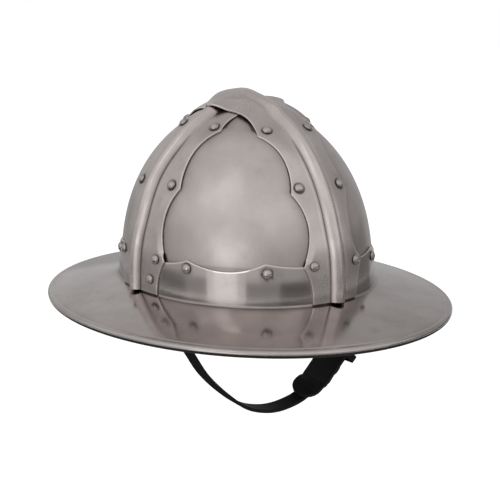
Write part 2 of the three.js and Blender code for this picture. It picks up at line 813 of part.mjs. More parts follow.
// Lace: one loop that passes in and out through a slit in the tip of each lobe
function makeLace() {
  const steps = lobeCount * laceStepsPerLobe;
  const centres = [];
  for (let step = 0; step < steps; step += 1) {
    const angle = fullTurn * step / steps;
    const share = lobeShareAtRadius(laceRingRadius, angle);
    const swing = laceSwing * Math.sin(lobeCount * angle);
    centres.push(domePoint(angle, share, lobeLeather / 2 + swing));
  }
  const loops = centres.map((centre, index) => {
    const before = centres[(index + steps - 1) % steps];
    const after = centres[(index + 1) % steps];
    const along = after.clone().sub(before).normalize();
    const sideways = new THREE.Vector3().crossVectors(along, up).normalize();
    const rising = new THREE.Vector3().crossVectors(sideways, along).normalize();
    const loop = [];
    for (let side = 0; side < laceSides; side += 1) {
      const turn = fullTurn * side / laceSides;
      loop.push(centre.clone()
        .addScaledVector(sideways, laceRadius * Math.cos(turn))
        .addScaledVector(rising, laceRadius * Math.sin(turn)));
    }
    return loop;
  });
  addMesh("liner_lace", loftBody(loops, true), laceFinish);
}

makeLinerBand();
for (let index = 0; index < lobeCount; index += 1) makeLobe(index);
makeLace();

// Distance from the middle plane at which the strap and its tab hang on their rivets
const strapInset = sheet + gap + leather + strapClearance + strapLeather / 2;
const strapHolePlane = strapRivetPlaces[1].point.x - strapInset;

// Chin strap line: the face where the strap and its backing tab would meet, seen from the front
const strapDepthAt = (place) => (Math.abs(place.point.x) - strapHolePlane) / Math.abs(place.direction.x);
const strapPivot = strapRivetPlaces[1].point.clone()
  .addScaledVector(strapRivetPlaces[1].direction, -strapDepthAt(strapRivetPlaces[1]));

function strapLinePoint([acrossShare, downShare]) {
  const x = acrossShare * strapHolePlane;
  return new THREE.Vector3(x, strapPivot.y, strapPivot.z + downShare * strapDrop);
}

function makeStrapLine() {
  const [start, end] = strapBuckleRunShares.map(strapLinePoint);
  const run = [];
  for (let step = 0; step < strapBuckleRunSteps; step += 1) {
    run.push(start.clone().lerp(end, step / (strapBuckleRunSteps - 1)));
  }
  const left = strapLeftPathShares.map(strapLinePoint);
  const right = strapRightPathShares.map(strapLinePoint);
  return new THREE.CatmullRomCurve3([...left, ...run, ...right], false, "centripetal");
}

const strapLine = makeStrapLine();
strapLine.arcLengthDivisions = strapPathSamples;
const lineLength = strapLine.getLength();

// Frame of the strap line at a distance from its start: along, sideways and outward
function strapFrame(distance) {
  const share = Math.min(Math.max(distance / lineLength, 0), 1);
  const point = strapLine.getPointAt(share);
  const along = strapLine.getTangentAt(share);
  const outward = new THREE.Vector3(along.z, 0, -along.x);
  return { point, along, sideways: new THREE.Vector3(0, -1, 0), outward };
}

// Distance along the line at which it passes closest to a point
function distanceOnLine(target, from, to) {
  let best = from;
  let least = Infinity;
  for (let step = 0; step <= strapPathSamples; step += 1) {
    const distance = from + (to - from) * step / strapPathSamples;
    const away = strapFrame(distance).point.distanceTo(target);
    if (away < least) {
      least = away;
      best = distance;
    }
  }
  return best;
}

const rightPivot = new THREE.Vector3(-strapHolePlane, strapPivot.y, strapPivot.z);
const leftPivot = new THREE.Vector3(strapHolePlane, strapPivot.y, strapPivot.z);
const rightPivotDistance = distanceOnLine(rightPivot, 0, lineLength / 3);
const leftPivotDistance = distanceOnLine(leftPivot, lineLength * 2 / 3, lineLength);
const runStart = distanceOnLine(strapLinePoint(strapBuckleRunShares[0]), lineLength / 3, lineLength);
const heelDistance = runStart + heelBarAlongRun;

// Heights above the strap line, on its outer side, of the layers at the buckle
const layer = strapGap / 2;
const heelBarHeight = layer + chapeLeather + gap + buckleWire;
const frontBarHeight = layer + strapLeather + gap + buckleWire;
const foldRadius = buckleWire + gap + chapeLeather;
const overHeelHeight = heelBarHeight + foldRadius + gap;
const onChapeHeight = layer + 2 * chapeLeather + 2 * gap;

// Height of the strap's under face above the strap line, by distance past the heel bar
function tongueHeight(past) {
  if (past < -buckleLength + buckleWire) return layer;
  if (past < -buckleWire) {
    const share = (past + buckleLength - buckleWire) / (buckleLength - 2 * buckleWire);
    return layer + (overHeelHeight - layer) * ease(share);
  }
  if (past < buckleWire) return overHeelHeight;
  const fall = (overHeelHeight - onChapeHeight) * ease((past - buckleWire) / tongueSettleRun);
  const settled = overHeelHeight - fall;
  const spring = tongueSpring * Math.max((past - chapeLength) / (tongueLength - chapeLength), 0) ** 2;
  return settled + spring;
}

// Half width of a strip with a round end, at some distance from that end
function roundEnd(halfWidth, distance) {
  if (distance >= halfWidth) return halfWidth;
  const inside = halfWidth - Math.max(distance, stripEndFlat);
  return Math.sqrt(halfWidth ** 2 - inside ** 2);
}

// Strip of leather along the strap line, with a rectangular section
function stripBody(distances, halfWidthAt, underAt, thickness) {
  const loops = distances.map((distance) => {
    const { point, sideways, outward } = strapFrame(distance);
    const half = halfWidthAt(distance);
    const under = underAt(distance);
    const corner = (side, height) => point.clone()
      .addScaledVector(sideways, side * half)
      .addScaledVector(outward, height);
    return [corner(-1, under), corner(1, under), corner(1, under + thickness), corner(-1, under + thickness)];
  });
  return loftBody(loops, false);
}

// Distances for a rounded end of a strip: close together at the tip
function endSteps(tip, inward, radius) {
  return stripEndShares.map((share) => tip + inward * radius * share);
}

const strapAcross = new THREE.Vector3(1, 0, 0);

function makeChinStrap() {
  const halfWidth = strapWidth / 2;
  const start = rightPivotDistance - strapEndReach;
  const end = heelDistance + tongueLength;
  const distances = [
    ...endSteps(start, 1, halfWidth),
    ...evenSteps(start + halfWidth, heelDistance - buckleLength - buckleWire, strapBodySteps).slice(1),
    ...evenSteps(heelDistance - buckleLength + buckleWire, heelDistance - buckleWire, strapRiseSteps),
    ...evenSteps(heelDistance + buckleWire, heelDistance + chapeLength, strapChapeSteps),
    ...evenSteps(heelDistance + chapeLength, end - tongueTipRun, tongueSteps).slice(1),
    ...evenSteps(end - tongueTipRun, end, tongueTipSteps).slice(1),
  ];
  const halfWidthAt = (distance) => {
    if (distance < start + halfWidth) return roundEnd(halfWidth, distance - start);
    const left = (end - distance) / tongueTipRun;
    if (left >= 1) return halfWidth;
    return halfWidth * (tongueTipShare + (1 - tongueTipShare) * Math.sqrt(Math.max(left, 0)));
  };
  const underAt = (distance) => tongueHeight(distance - heelDistance);
  const body = stripBody(distances, halfWidthAt, underAt, strapLeather);
  const slot = new THREE.BoxGeometry(prongHoleFar - prongHoleNear, 2 * prongHoleHalfWidth, drillLength);
  slot.translate(-(prongHoleFar + prongHoleNear) / 2, 0, overHeelHeight / 2);
  slot.applyMatrix4(buckleMatrix());
  const holes = [drillAt(rightPivot, strapAcross, strapHoleRadius), slot];
  addMesh("chin_strap", cutAway(body, holes), strapFinish);
}

// Frame of the buckle: +X along the strap towards the left-hand rivet, +Z away from the head
function buckleMatrix() {
  const { point, along, sideways, outward } = strapFrame(heelDistance);
  return new THREE.Matrix4().makeBasis(along, sideways, outward).setPosition(point);
}

function makeBuckleTab() {
  const wide = tabWidth / 2;
  const narrow = strapWidth / 2;
  const start = runStart;
  const end = leftPivotDistance + strapEndReach;
  const taperFrom = start + tabTaperStart;
  const distances = [
    ...endSteps(start, 1, wide),
    ...evenSteps(start + wide, taperFrom, tabWideSteps).slice(1),
    ...evenSteps(taperFrom, taperFrom + tabTaperRun, tabTaperSteps).slice(1),
    ...evenSteps(taperFrom + tabTaperRun, end - narrow, tabNarrowSteps).slice(1),
    ...endSteps(end, -1, narrow).reverse().slice(1),
  ];
  const halfWidthAt = (distance) => {
    if (distance < start + wide) return roundEnd(wide, distance - start);
    if (distance > end - narrow) return roundEnd(narrow, end - distance);
    return wide + (narrow - wide) * ease((distance - taperFrom) / tabTaperRun);
  };
  const body = stripBody(distances, halfWidthAt, () => -layer - strapLeather, strapLeather);
  addMesh("buckle_tab", cutAway(body, [drillAt(leftPivot, strapAcross, strapHoleRadius)]), strapFinish);
}

// Buckle pieces sit in their own frame, whose origin is on the strap line under the heel bar
const buckle = new THREE.Group();
buckle.applyMatrix4(buckleMatrix());
hat.add(buckle);

// Chape: a strip folded round the heel bar, with a slot for the prong
function makeChape() {
  const outline = [];
  const addFold = (radius, from, to) => {
    for (const turn of evenSteps(from, to, chapeFoldSteps)) {
      outline.push([radius * Math.cos(turn), heelBarHeight + radius * Math.sin(turn)]);
    }
  };
  const upperUnder = layer + chapeLeather + gap;
  outline.push([chapeLength, layer]);
  addFold(foldRadius, -quarterTurn, -3 * quarterTurn);
  outline.push([chapeSlotReach, upperUnder + chapeLeather], [chapeLength, upperUnder + chapeLeather]);
  outline.push([chapeLength, upperUnder], [chapeSlotReach, upperUnder]);
  addFold(foldRadius - chapeLeather, -3 * quarterTurn, -quarterTurn);
  outline.push([chapeLength, layer + chapeLeather]);
  const shape = new THREE.Shape(outline.map(([x, y]) => new THREE.Vector2(x, y)));
  const body = new THREE.ExtrudeGeometry(shape, { depth: chapeWidth, bevelEnabled: false });
  body.translate(0, 0, -chapeWidth / 2);
  body.rotateX(quarterTurn);
  const slot = new THREE.BoxGeometry(foldRadius + gap + chapeSlotReach, 2 * chapeSlotHalfWidth, drillLength);
  slot.translate((chapeSlotReach - foldRadius - gap) / 2, 0, 0);
  addMesh("buckle_chape", cutAway(body, [slot]), strapFinish, buckle);
}

// Ring of wire in the buckle's own plane, from the heel bar at the origin to the front bar
function makeBuckleFrame(parent) {
  const halfWidth = buckleInnerHalfWidth + buckleWire;
  const corners = [
    [-buckleCornerRadius, halfWidth - buckleCornerRadius, 0],
    [-buckleLength + buckleCornerRadius, halfWidth - buckleCornerRadius, 1],
    [-buckleLength + buckleCornerRadius, -halfWidth + buckleCornerRadius, 2],
    [-buckleCornerRadius, -halfWidth + buckleCornerRadius, 3],
  ];
  const loops = [];
  for (const [x, y, quarter] of corners) {
    for (let step = 0; step <= buckleCornerSteps; step += 1) {
      const turn = quarterTurn * (quarter + step / buckleCornerSteps);
      const outward = new THREE.Vector3(Math.cos(turn), Math.sin(turn), 0);
      const centre = new THREE.Vector3(x, y, 0).addScaledVector(outward, buckleCornerRadius);
      const loop = [];
      for (let side = 0; side < wireSides; side += 1) {
        const round = fullTurn * side / wireSides;
        loop.push(centre.clone()
          .addScaledVector(outward, buckleWire * Math.cos(round))
          .addScaledVector(up, buckleWire * Math.sin(round)));
      }
      loops.push(loop);
    }
  }
  addMesh("buckle_frame", loftBody(loops, true), buckleFinish, parent);
}

// Prong: an eye round the heel bar and a shaft that rests on the front bar
function makeProng(parent) {
  const eyeInner = buckleWire + gap;
  const eyeOuter = eyeInner + prongWire;
  const eye = new THREE.Shape();
  eye.absarc(0, 0, eyeOuter, 0, fullTurn);
  const bore = new THREE.Path();
  bore.absarc(0, 0, eyeInner, 0, fullTurn);
  eye.holes.push(bore);
  const eyeBody = new THREE.ExtrudeGeometry(eye, {
    depth: 2 * prongWire, bevelEnabled: false, curveSegments: prongEyeSides,
  });
  eyeBody.translate(0, 0, -prongWire);
  eyeBody.rotateX(quarterTurn);
  const restHeight = buckleWire + gap + prongWire;
  const tip = -buckleLength - prongOverhang;
  const rootHeight = eyeInner + prongWire / 2;
  const loops = [
    [-prongWire, rootHeight],
    [-buckleLength / 2, (rootHeight + restHeight) / 2 + gap],
    [-buckleLength, restHeight],
    [tip, restHeight - gap],
  ].map(([x, height], place) => {
    const radius = prongWire * prongThicknessShares[place];
    const loop = [];
    for (let side = 0; side < wireSides; side += 1) {
      const round = fullTurn * side / wireSides;
      loop.push(new THREE.Vector3(x, radius * Math.cos(round), height + radius * Math.sin(round)));
    }
    return loop;
  });
  const solid = toSolid(eyeBody).add(toSolid(loftBody(loops, false)));
  addMesh("buckle_prong", toGeometry(solid), buckleFinish, parent);
}

// Keeper: a flat loop round the tab, the chape and the strap's free end
function makeKeeper() {
  const halfWidth = tabWidth / 2 + gap;
  const low = -layer - strapLeather - gap;
  const high = onChapeHeight + strapLeather + gap;
  const rectangle = (shape, grow) => {
    shape.moveTo(-halfWidth - grow, low - grow);
    shape.lineTo(halfWidth + grow, low - grow);
    shape.lineTo(halfWidth + grow, high + grow);
    shape.lineTo(-halfWidth - grow, high + grow);
    shape.closePath();
    return shape;
  };
  const loop = rectangle(new THREE.Shape(), keeperLeather);
  loop.holes.push(rectangle(new THREE.Path(), 0));
  const body = new THREE.ExtrudeGeometry(loop, { depth: keeperWidth, bevelEnabled: false });
  body.rotateX(quarterTurn);
  body.rotateZ(quarterTurn);
  body.translate(keeperAlong, 0, 0);
  addMesh("strap_keeper", body, strapFinish, buckle);
}

// The frame lies slanted, from the chape's fold up to the strap that passes under its front bar
function makeBuckle() {
  const hardware = new THREE.Group();
  hardware.position.set(0, 0, heelBarHeight);
  hardware.rotation.y = Math.atan2(frontBarHeight - heelBarHeight, buckleLength);
  buckle.add(hardware);
  makeChape();
  makeBuckleFrame(hardware);
  makeProng(hardware);
  makeKeeper();
}

// Rivets of the strap reach through every layer, and a washer spreads each tail on the leather
function makeStrapRivets() {
  for (const place of strapRivetPlaces) {
    const strapBack = -strapDepthAt(place) - strapLeather / 2;
    const washerFront = strapBack - washerStandOff;
    addRivet(place, washerFront - washerThickness - gap);
    const washer = new THREE.Shape();
    washer.absarc(0, 0, washerRadius, 0, fullTurn);
    const hole = new THREE.Path();
    hole.absarc(0, 0, rivetShankRadius + gap, 0, fullTurn);
    washer.holes.push(hole);
    const body = new THREE.ExtrudeGeometry(washer, {
      depth: washerThickness, bevelEnabled: false, curveSegments: washerSteps,
    });
    const mesh = addMesh(place.end < 0 ? "strap_washer_right" : "strap_washer_left", body, rivetFinish);
    mesh.quaternion.setFromUnitVectors(up, place.direction);
    mesh.position.copy(place.point).addScaledVector(place.direction, washerFront - washerThickness);
  }
}

makeChinStrap();
makeBuckleTab();
makeBuckle();
makeStrapRivets();

export default hat;
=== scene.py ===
# %% [markdown]
# # A kettle hat of riveted steel
# A kettle hat is an iron war hat with a wide brim. This one is made of four skull plates, two
# crossing bands with a ridge, and a brim whose inner edge turns up into a collar. Rivets hold it
# together. Inside are a leather liner and a chin strap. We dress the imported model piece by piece,
# with the same rules of shape that the maker of the solids used, only far finer.

import math

import bmesh
import bpy
import numpy as np
from mathutils import Matrix, Vector


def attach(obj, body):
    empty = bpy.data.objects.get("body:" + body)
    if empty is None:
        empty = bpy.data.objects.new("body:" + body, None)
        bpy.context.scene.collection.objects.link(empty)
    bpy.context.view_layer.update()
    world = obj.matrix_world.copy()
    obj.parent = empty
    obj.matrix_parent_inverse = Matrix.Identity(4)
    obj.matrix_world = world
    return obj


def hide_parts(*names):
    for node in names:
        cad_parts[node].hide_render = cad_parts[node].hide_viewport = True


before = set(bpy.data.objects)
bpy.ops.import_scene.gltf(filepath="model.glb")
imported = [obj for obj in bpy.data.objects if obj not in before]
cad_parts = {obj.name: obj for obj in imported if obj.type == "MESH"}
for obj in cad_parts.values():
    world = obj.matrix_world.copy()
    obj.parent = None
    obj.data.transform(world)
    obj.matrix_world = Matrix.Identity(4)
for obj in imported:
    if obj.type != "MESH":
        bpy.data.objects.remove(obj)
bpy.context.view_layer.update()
MILLIMETRE = 0.001


def add_object(name, data):
    """Puts a mesh, a lamp or a camera into the scene."""
    thing = bpy.data.objects.new(name, data)
    bpy.context.scene.collection.objects.link(thing)
    return thing


# %% [markdown]
# ## Camera
# The camera stands in front of the wearer's right side, a little above the brim. Its turn, tilt
# and distance were fitted to the rim, the crease and the ridges, so the frame can be compared
# with the photograph point by point. A camera's matrix holds its right, up and back directions as
# columns.

# %% Camera
CAMERA_TURN = math.radians(-37.095)
CAMERA_TILT = math.radians(12.615)
CAMERA_ROLL = math.radians(0.318)
CAMERA_DISTANCE = 0.9135
CAMERA_AIM_ACROSS = 0.00434
CAMERA_AIM_HEIGHT = 0.02064
FOCAL_SHARE_OF_WIDTH = 1045.4 / 500
SENSOR_WIDTH = 36.0

back = Vector((
    math.sin(CAMERA_TURN) * math.cos(CAMERA_TILT),
    -math.cos(CAMERA_TURN) * math.cos(CAMERA_TILT),
    math.sin(CAMERA_TILT),
))
level_right = Vector((math.cos(CAMERA_TURN), math.sin(CAMERA_TURN), 0))
level_up = back.cross(level_right)
right = level_right * math.cos(CAMERA_ROLL) + level_up * math.sin(CAMERA_ROLL)
up = level_up * math.cos(CAMERA_ROLL) - level_right * math.sin(CAMERA_ROLL)
aim = level_right * CAMERA_AIM_ACROSS + Vector((0, 0, CAMERA_AIM_HEIGHT))

camera_data = bpy.data.cameras.new("studio_camera")
camera_data.sensor_width = SENSOR_WIDTH
camera_data.lens = SENSOR_WIDTH * FOCAL_SHARE_OF_WIDTH
camera = add_object("studio_camera", camera_data)
turn = Matrix((right, up, back)).transposed().to_4x4()
camera.matrix_world = Matrix.Translation(aim + back * CAMERA_DISTANCE) @ turn
bpy.context.scene.camera = camera
bpy.context.scene.view_settings.view_transform = "Standard"
print("camera at", np.round(camera.matrix_world.translation, 3).tolist(), "lens", camera_data.lens)

# %% [markdown]
# ## Node expressions
# Shaders and Geometry Nodes both do sums with Math nodes. Wiring them by hand is slow to read, so
# a small class wraps a socket, and each of Python's operators makes one Math node. The sum
# `0.7 + fuzz * 0.2` makes two. The same class serves both kinds of tree. Every other node comes
# from one method that sets its options first and its sockets next.

# %% Node expressions
class Value:
    def __init__(self, graph, socket):
        self.graph = graph
        self.socket = socket

    def math(self, operation, *values):
        return self.graph.node("ShaderNodeMath", {"operation": operation}, dict(enumerate(values)))


def add_operator(name, operation):
    """Lets one of Python's operators make a Math node, with the value on either side of it."""
    setattr(Value, f"__{name}__", lambda self, other: self.math(operation, self, other))
    setattr(Value, f"__r{name}__", lambda self, other: self.math(operation, other, self))


OPERATORS = {
    "add": "ADD", "sub": "SUBTRACT", "mul": "MULTIPLY", "truediv": "DIVIDE", "pow": "POWER",
}
for operator_name, operation in OPERATORS.items():
    add_operator(operator_name, operation)


class Graph:
    def __init__(self, tree):
        self.tree = tree

    def node(self, kind, settings=None, values=None, output=0):
        node = self.tree.nodes.new(kind)
        for key, value in (settings or {}).items():
            if key == "stops":
                ramp = node.color_ramp
                while len(ramp.elements) < len(value):
                    ramp.elements.new(1)
                for element, (position, grey) in zip(ramp.elements, value):
                    element.position = position
                    element.color = (grey, grey, grey, 1)
            else:
                setattr(node, key, value)
        for key, value in (values or {}).items():
            self.feed(node.inputs[key], value)
        return Value(self, node.outputs[output])

    def feed(self, socket, value):
        if isinstance(value, Value):
            self.tree.links.new(value.socket, socket)
        else:
            socket.default_value = value

    def mix_colours(self, share, first, second):
        settings = {"data_type": "RGBA"}
        return self.node("ShaderNodeMix", settings, {0: share, 6: first, 7: second}, output=2)

    def vector(self, x, y, z):
        return self.node("ShaderNodeCombineXYZ", values={0: x, 1: y, 2: z})

    def position(self):
        """The three coordinates of the point that a Geometry Nodes tree works on."""
        parts = self.tree.nodes.new("ShaderNodeSeparateXYZ")
        self.feed(parts.inputs[0], self.node("GeometryNodeInputPosition"))
        return [Value(self, socket) for socket in parts.outputs]


print("operators:", ", ".join(OPERATORS))

# %% [markdown]
# ## A material's frame
# Each finish starts as a Principled shader. What is the same all over is set on its sockets, and
# only colour, roughness and the normal are fed by patterns. The patterns read Object coordinates,
# so they stay on the piece from every side. `attribute` reads a value that a mesh stores for each
# point. A pattern's scale is in features to the metre, and a bump's distance in metres.

# %% A material's frame
class Finish(Graph):
    def __init__(self, name, constants):
        self.material = bpy.data.materials.new(name)
        self.material.use_nodes = True
        super().__init__(self.material.node_tree)
        self.shader = self.tree.nodes["Principled BSDF"]
        for key, value in constants.items():
            self.shader.inputs[key].default_value = value
        self.place = self.node("ShaderNodeTexCoord", output="Object")

    def noise(self, scale, detail, stretch=None, roughness=0.5):
        place = self.place
        if stretch:
            place = self.node("ShaderNodeMapping", values={"Vector": place, "Scale": stretch})
        values = {"Vector": place, "Scale": scale, "Detail": detail, "Roughness": roughness}
        return self.node("ShaderNodeTexNoise", values=values)

    def cells(self, scale):
        values = {"Vector": self.place, "Scale": scale}
        return self.node("ShaderNodeTexVoronoi", {"feature": "SMOOTH_F1"}, values)

    def ramp(self, value, stops):
        return self.node("ShaderNodeValToRGB", {"stops": stops}, {"Fac": value})

    def attribute(self, name):
        return self.node("ShaderNodeAttribute", {"attribute_name": name}, output="Fac")

    def bump(self, height, distance, strength, under=None):
        values = {"Height": height, "Distance": distance, "Strength": strength}
        if under:
            values["Normal"] = under
        return self.node("ShaderNodeBump", values=values)

    def wear(self, **fed):
        for key, value in fed.items():
            self.feed(self.shader.inputs[key.replace("_", " ")], value)
        return self.material


print("finish class ready")

# %% [markdown]
# ## Steel
# Mild steel that was ground and polished is bright but not a mirror: fine scratches run along the
# sheet, hammer work leaves shallow hollows, and handling leaves clouds of duller metal. A picture
# of steel wrapped round the hat could show all that, but patterns of noise stay sharp at any
# distance and fit every piece. Each sheet stores a value that is 1 in a corner, a crease or an
# underside and falls to 0 a few millimetres away; it darkens the steel there, partly as dirt and
# partly as painted shade. A second stored value lightens edges, the ridge's back and the tops of
# the rivets, partly as rubbed metal and partly as a painted highlight.

# %% Steel
CLOUD_SCALE, CLOUD_STOPS = 24.0, ((0.36, 0.0), (0.68, 1.0))
BLOT_SCALE, BLOT_STOPS = 70.0, ((0.56, 0.0), (0.74, 1.0))
HOLLOW_SCALE, HOLLOW_DEPTH, HOLLOW_STRENGTH = 9.0, 0.004, 0.5
SCRATCH_SCALE, SCRATCH_DEPTH, SCRATCH_STRENGTH = 240.0, 0.00002, 0.15
STEEL_RED, STEEL_BLUE = 1.1, 0.97
DULL_LEVEL, DULL_RUST = 0.62, 0.02
# The near-black grey that corners, creases and undersides darken to: partly dirt, partly painted
# shade.
DIRT_AND_SHADE_LEVEL, DIRT_AND_SHADE_RUST = 0.05, 0.1
# The lighter grey of edges, the ridge's back and rivet tops: partly rubbed metal, partly painted
# highlight.
RUBBED_AND_HIGHLIGHT_LEVEL = 0.75
DULL_BLOTS, DULL_DIRT_AND_SHADE, DIRT_AND_SHADE_COVER, RUBBED_AND_HIGHLIGHT_COVER = 0.5, 0.4, 0.9, 0.7
ROUGH_CLOUDS, ROUGH_SCRATCHES, ROUGH_DIRT_AND_SHADE = 0.05, 0.05, 0.14
ROUGH_BLOTS, ROUGH_POLISH = 0.04, -0.08
EVEN = (1.0, 1.0, 1.0)


def steel_grey(level, rust=0.0):
    """Bare steel is a warm grey, and dull steel is a little warmer."""
    return (level * (STEEL_RED + rust), level, level * (STEEL_BLUE - rust), 1)


def steel(name, level, roughness, scratch_stretch, hollows=0.5, stains=0.3):
    finish = Finish(name, {"Metallic": 1.0, "Specular IOR Level": 0.5})
    clouds = finish.ramp(finish.noise(CLOUD_SCALE, 5.0, roughness=0.6), CLOUD_STOPS)
    blots = finish.ramp(finish.noise(BLOT_SCALE, 4.0, roughness=0.65), BLOT_STOPS)
    broad = finish.noise(HOLLOW_SCALE, 1.0)
    scratches = finish.noise(SCRATCH_SCALE, 3.0, stretch=scratch_stretch, roughness=0.6)
    grime = finish.attribute("grime")
    polish = finish.attribute("polish")
    # Corners, creases and undersides turn duller and near black: partly dirt, partly painted shade.
    dull = clouds * stains + blots * stains * DULL_BLOTS + grime * DULL_DIRT_AND_SHADE
    worn = finish.mix_colours(dull, steel_grey(level), steel_grey(level * DULL_LEVEL, DULL_RUST))
    dirt_and_shade = steel_grey(DIRT_AND_SHADE_LEVEL, DIRT_AND_SHADE_RUST)
    dirty_and_shaded = finish.mix_colours(grime * grime * DIRT_AND_SHADE_COVER, worn, dirt_and_shade)
    # Edges, the ridge's back and rivet tops mix in a lighter grey: partly rubbed metal, partly
    # painted highlight.
    colour = finish.mix_colours(polish * RUBBED_AND_HIGHLIGHT_COVER, dirty_and_shaded, steel_grey(RUBBED_AND_HIGHLIGHT_LEVEL))
    rough = roughness + clouds * ROUGH_CLOUDS + (scratches - 0.5) * ROUGH_SCRATCHES
    rough = rough + grime * ROUGH_DIRT_AND_SHADE + blots * ROUGH_BLOTS + polish * ROUGH_POLISH
    hammered = finish.bump(broad, HOLLOW_DEPTH * hollows, HOLLOW_STRENGTH)
    scratched = finish.bump(scratches, SCRATCH_DEPTH, SCRATCH_STRENGTH, under=hammered)
    return finish.wear(Base_Color=colour, Roughness=rough, Normal=scratched)


skull_steel = steel("skull_steel", 0.51, 0.28, (1.0, 1.0, 0.08), stains=0.4)
band_steel = steel("band_steel", 0.53, 0.24, (0.5, 0.5, 0.08), hollows=0.35, stains=0.5)
brim_steel = steel("brim_steel", 0.47, 0.11, (0.12, 0.12, 1.0), hollows=0.4, stains=0.5)
rivet_steel = steel("rivet_steel", 0.38, 0.2, EVEN, hollows=0.05)
buckle_steel = steel("buckle_steel", 0.1, 0.34, EVEN, hollows=0.05)
steels = (skull_steel, band_steel, brim_steel, rivet_steel, buckle_steel)
print("steel:", ", ".join(material.name for material in steels))

# %% [markdown]
# ## Leather
# Tanned leather has a pebbled grain about a millimetre across, with fine wrinkles between the
# pebbles. Cells of a Voronoi texture make the pebbles. The dye wears off where the sheet bends
# over its edges, so the stored value that darkens the steel with dirt and painted shade here
# marks an edge that is paler, drier and rougher than the face. A colour is dyed first and worn
# second, and the number of pebbles to the metre comes last.

# %% Leather
STAIN_SCALE, STAIN_STOPS, STAIN_LEVEL = 38.0, ((0.35, 0.0), (0.75, 1.0)), 0.6
WRINKLE_SCALE, WRINKLE_DEPTH, WRINKLE_STRENGTH = 0.35, 0.0003, 0.5
PEBBLE_DEPTH, PEBBLE_STRENGTH = 0.0002, 0.45
DARK_STAINS, DARK_WRINKLES, WORN_EDGE, WORN_WRINKLES = 0.55, 0.2, 0.35, 0.5
ROUGH_WRINKLES, ROUGH_EDGE, ROUGH_STAINS = 0.16, 0.18, -0.06


def darker(colour, level):
    return tuple(level * part for part in colour[:3]) + (1,)


def leather(name, colour, worn, roughness, grain):
    finish = Finish(name, {"Specular IOR Level": 0.45})
    pebbles = finish.cells(grain)
    wrinkles = finish.noise(grain * WRINKLE_SCALE, 5.0, roughness=0.7)
    stains = finish.ramp(finish.noise(STAIN_SCALE, 3.0), STAIN_STOPS)
    edge = finish.attribute("grime")
    dark = darker(colour, STAIN_LEVEL)
    shade = finish.mix_colours(stains * DARK_STAINS + wrinkles * DARK_WRINKLES, colour, dark)
    rubbed = finish.mix_colours(edge * (WORN_EDGE + wrinkles * WORN_WRINKLES), shade, worn)
    rough = roughness + wrinkles * ROUGH_WRINKLES + edge * ROUGH_EDGE + stains * ROUGH_STAINS
    creased = finish.bump(wrinkles, WRINKLE_DEPTH, WRINKLE_STRENGTH)
    grained = finish.bump(pebbles, PEBBLE_DEPTH, PEBBLE_STRENGTH, under=creased)
    return finish.wear(Base_Color=rubbed, Roughness=rough, Normal=grained)


strap_leather = leather(
    "strap_leather", (0.004, 0.0036, 0.0034, 1), (0.016, 0.014, 0.012, 1), 0.56, 1000.0)
liner_leather = leather(
    "liner_leather", (0.19, 0.105, 0.055, 1), (0.34, 0.23, 0.14, 1), 0.6, 700.0)
lace_leather = leather(
    "lace_leather", (0.07, 0.042, 0.026, 1), (0.16, 0.1, 0.06, 1), 0.62, 1500.0)
print("leather:", strap_leather.name, liner_leather.name, lace_leather.name)

# %% [markdown]
# ## Thread
# The stitches are waxed linen: a dull, slightly fuzzy twist. A wave along the stitch would be
# lost at this size, so fine noise roughens it.

# %% Thread
FUZZ_SCALE, FUZZ_DEPTH, FUZZ_STRENGTH, FUZZ_LEVEL = 2600.0, 0.0001, 0.6, 0.45


def thread(name, colour):
    finish = Finish(name, {"Sheen Weight": 0.3, "Specular IOR Level": 0.3})
    fuzz = finish.noise(FUZZ_SCALE, 3.0)
    shade = finish.mix_colours(fuzz, colour, darker(colour, FUZZ_LEVEL))
    rough = finish.bump(fuzz, FUZZ_DEPTH, FUZZ_STRENGTH)
    return finish.wear(Base_Color=shade, Roughness=0.7 + fuzz * 0.2, Normal=rough)


liner_thread = thread("liner_thread", (0.5, 0.4, 0.26, 1))
strap_thread = thread("strap_thread", (0.03, 0.028, 0.026, 1))
print("thread:", liner_thread.name, strap_thread.name)

# %% [markdown]
# ## Small sums
# Turns are in radians. `unit` gives vectors the length 1, `circle` gives turns spread evenly
# round a ring, and `ease` goes from 0 to 1 with a soft start and a soft end, as bent sheet does.

# %% Small sums
QUARTER_TURN, FULL_TURN = math.pi / 2, 2 * math.pi
HALVINGS = 36


def unit(vectors):
    return vectors / np.linalg.norm(vectors, axis=-1, keepdims=True)


def circle(count):
    return np.linspace(0, FULL_TURN, count, endpoint=False)


def ease(share):
    held = np.clip(share, 0, 1)
    return held * held * (3 - 2 * held)


print("circle of four:", circle(4).round(2).tolist())

# %% [markdown]
# ## Skull
# The skull is one surface with two powers in it. `rise` runs from 0 at the foot to a quarter turn
# at the apex; the height goes with its sine and the spread with its cosine, each raised to a
# power. A power above 2 gives the full, upright sides, and one below 2 the drawn-up crown. It
# could be modelled by hand, but every sheet, rivet and strip of leather needs to find this
# surface. All sizes are in millimetres here, as on the bench, and a mesh is made in metres at the
# end.

# %% Skull
SHEET = 1.6
SKULL_HALF_WIDTH = 103.4
SKULL_HALF_LENGTH = 118.6
SKULL_HEIGHT = 149.7
RISE_POWER = 2.38
SPREAD_POWER = 1.85
LEAST_SPREAD = 1e-3


def rise_at(height):
    return np.arcsin((np.asarray(height) / SKULL_HEIGHT) ** (RISE_POWER / 2))


def height_at(rise):
    return SKULL_HEIGHT * np.sin(rise) ** (2 / RISE_POWER)


def spread_at(rise):
    return np.maximum(np.cos(rise), 0) ** (2 / SPREAD_POWER)


def skull_point(angle, height):
    spread = spread_at(rise_at(height))
    x = SKULL_HALF_WIDTH * spread * np.cos(angle)
    y = SKULL_HALF_LENGTH * spread * np.sin(angle)
    return np.stack(np.broadcast_arrays(x, y, height), axis=-1)


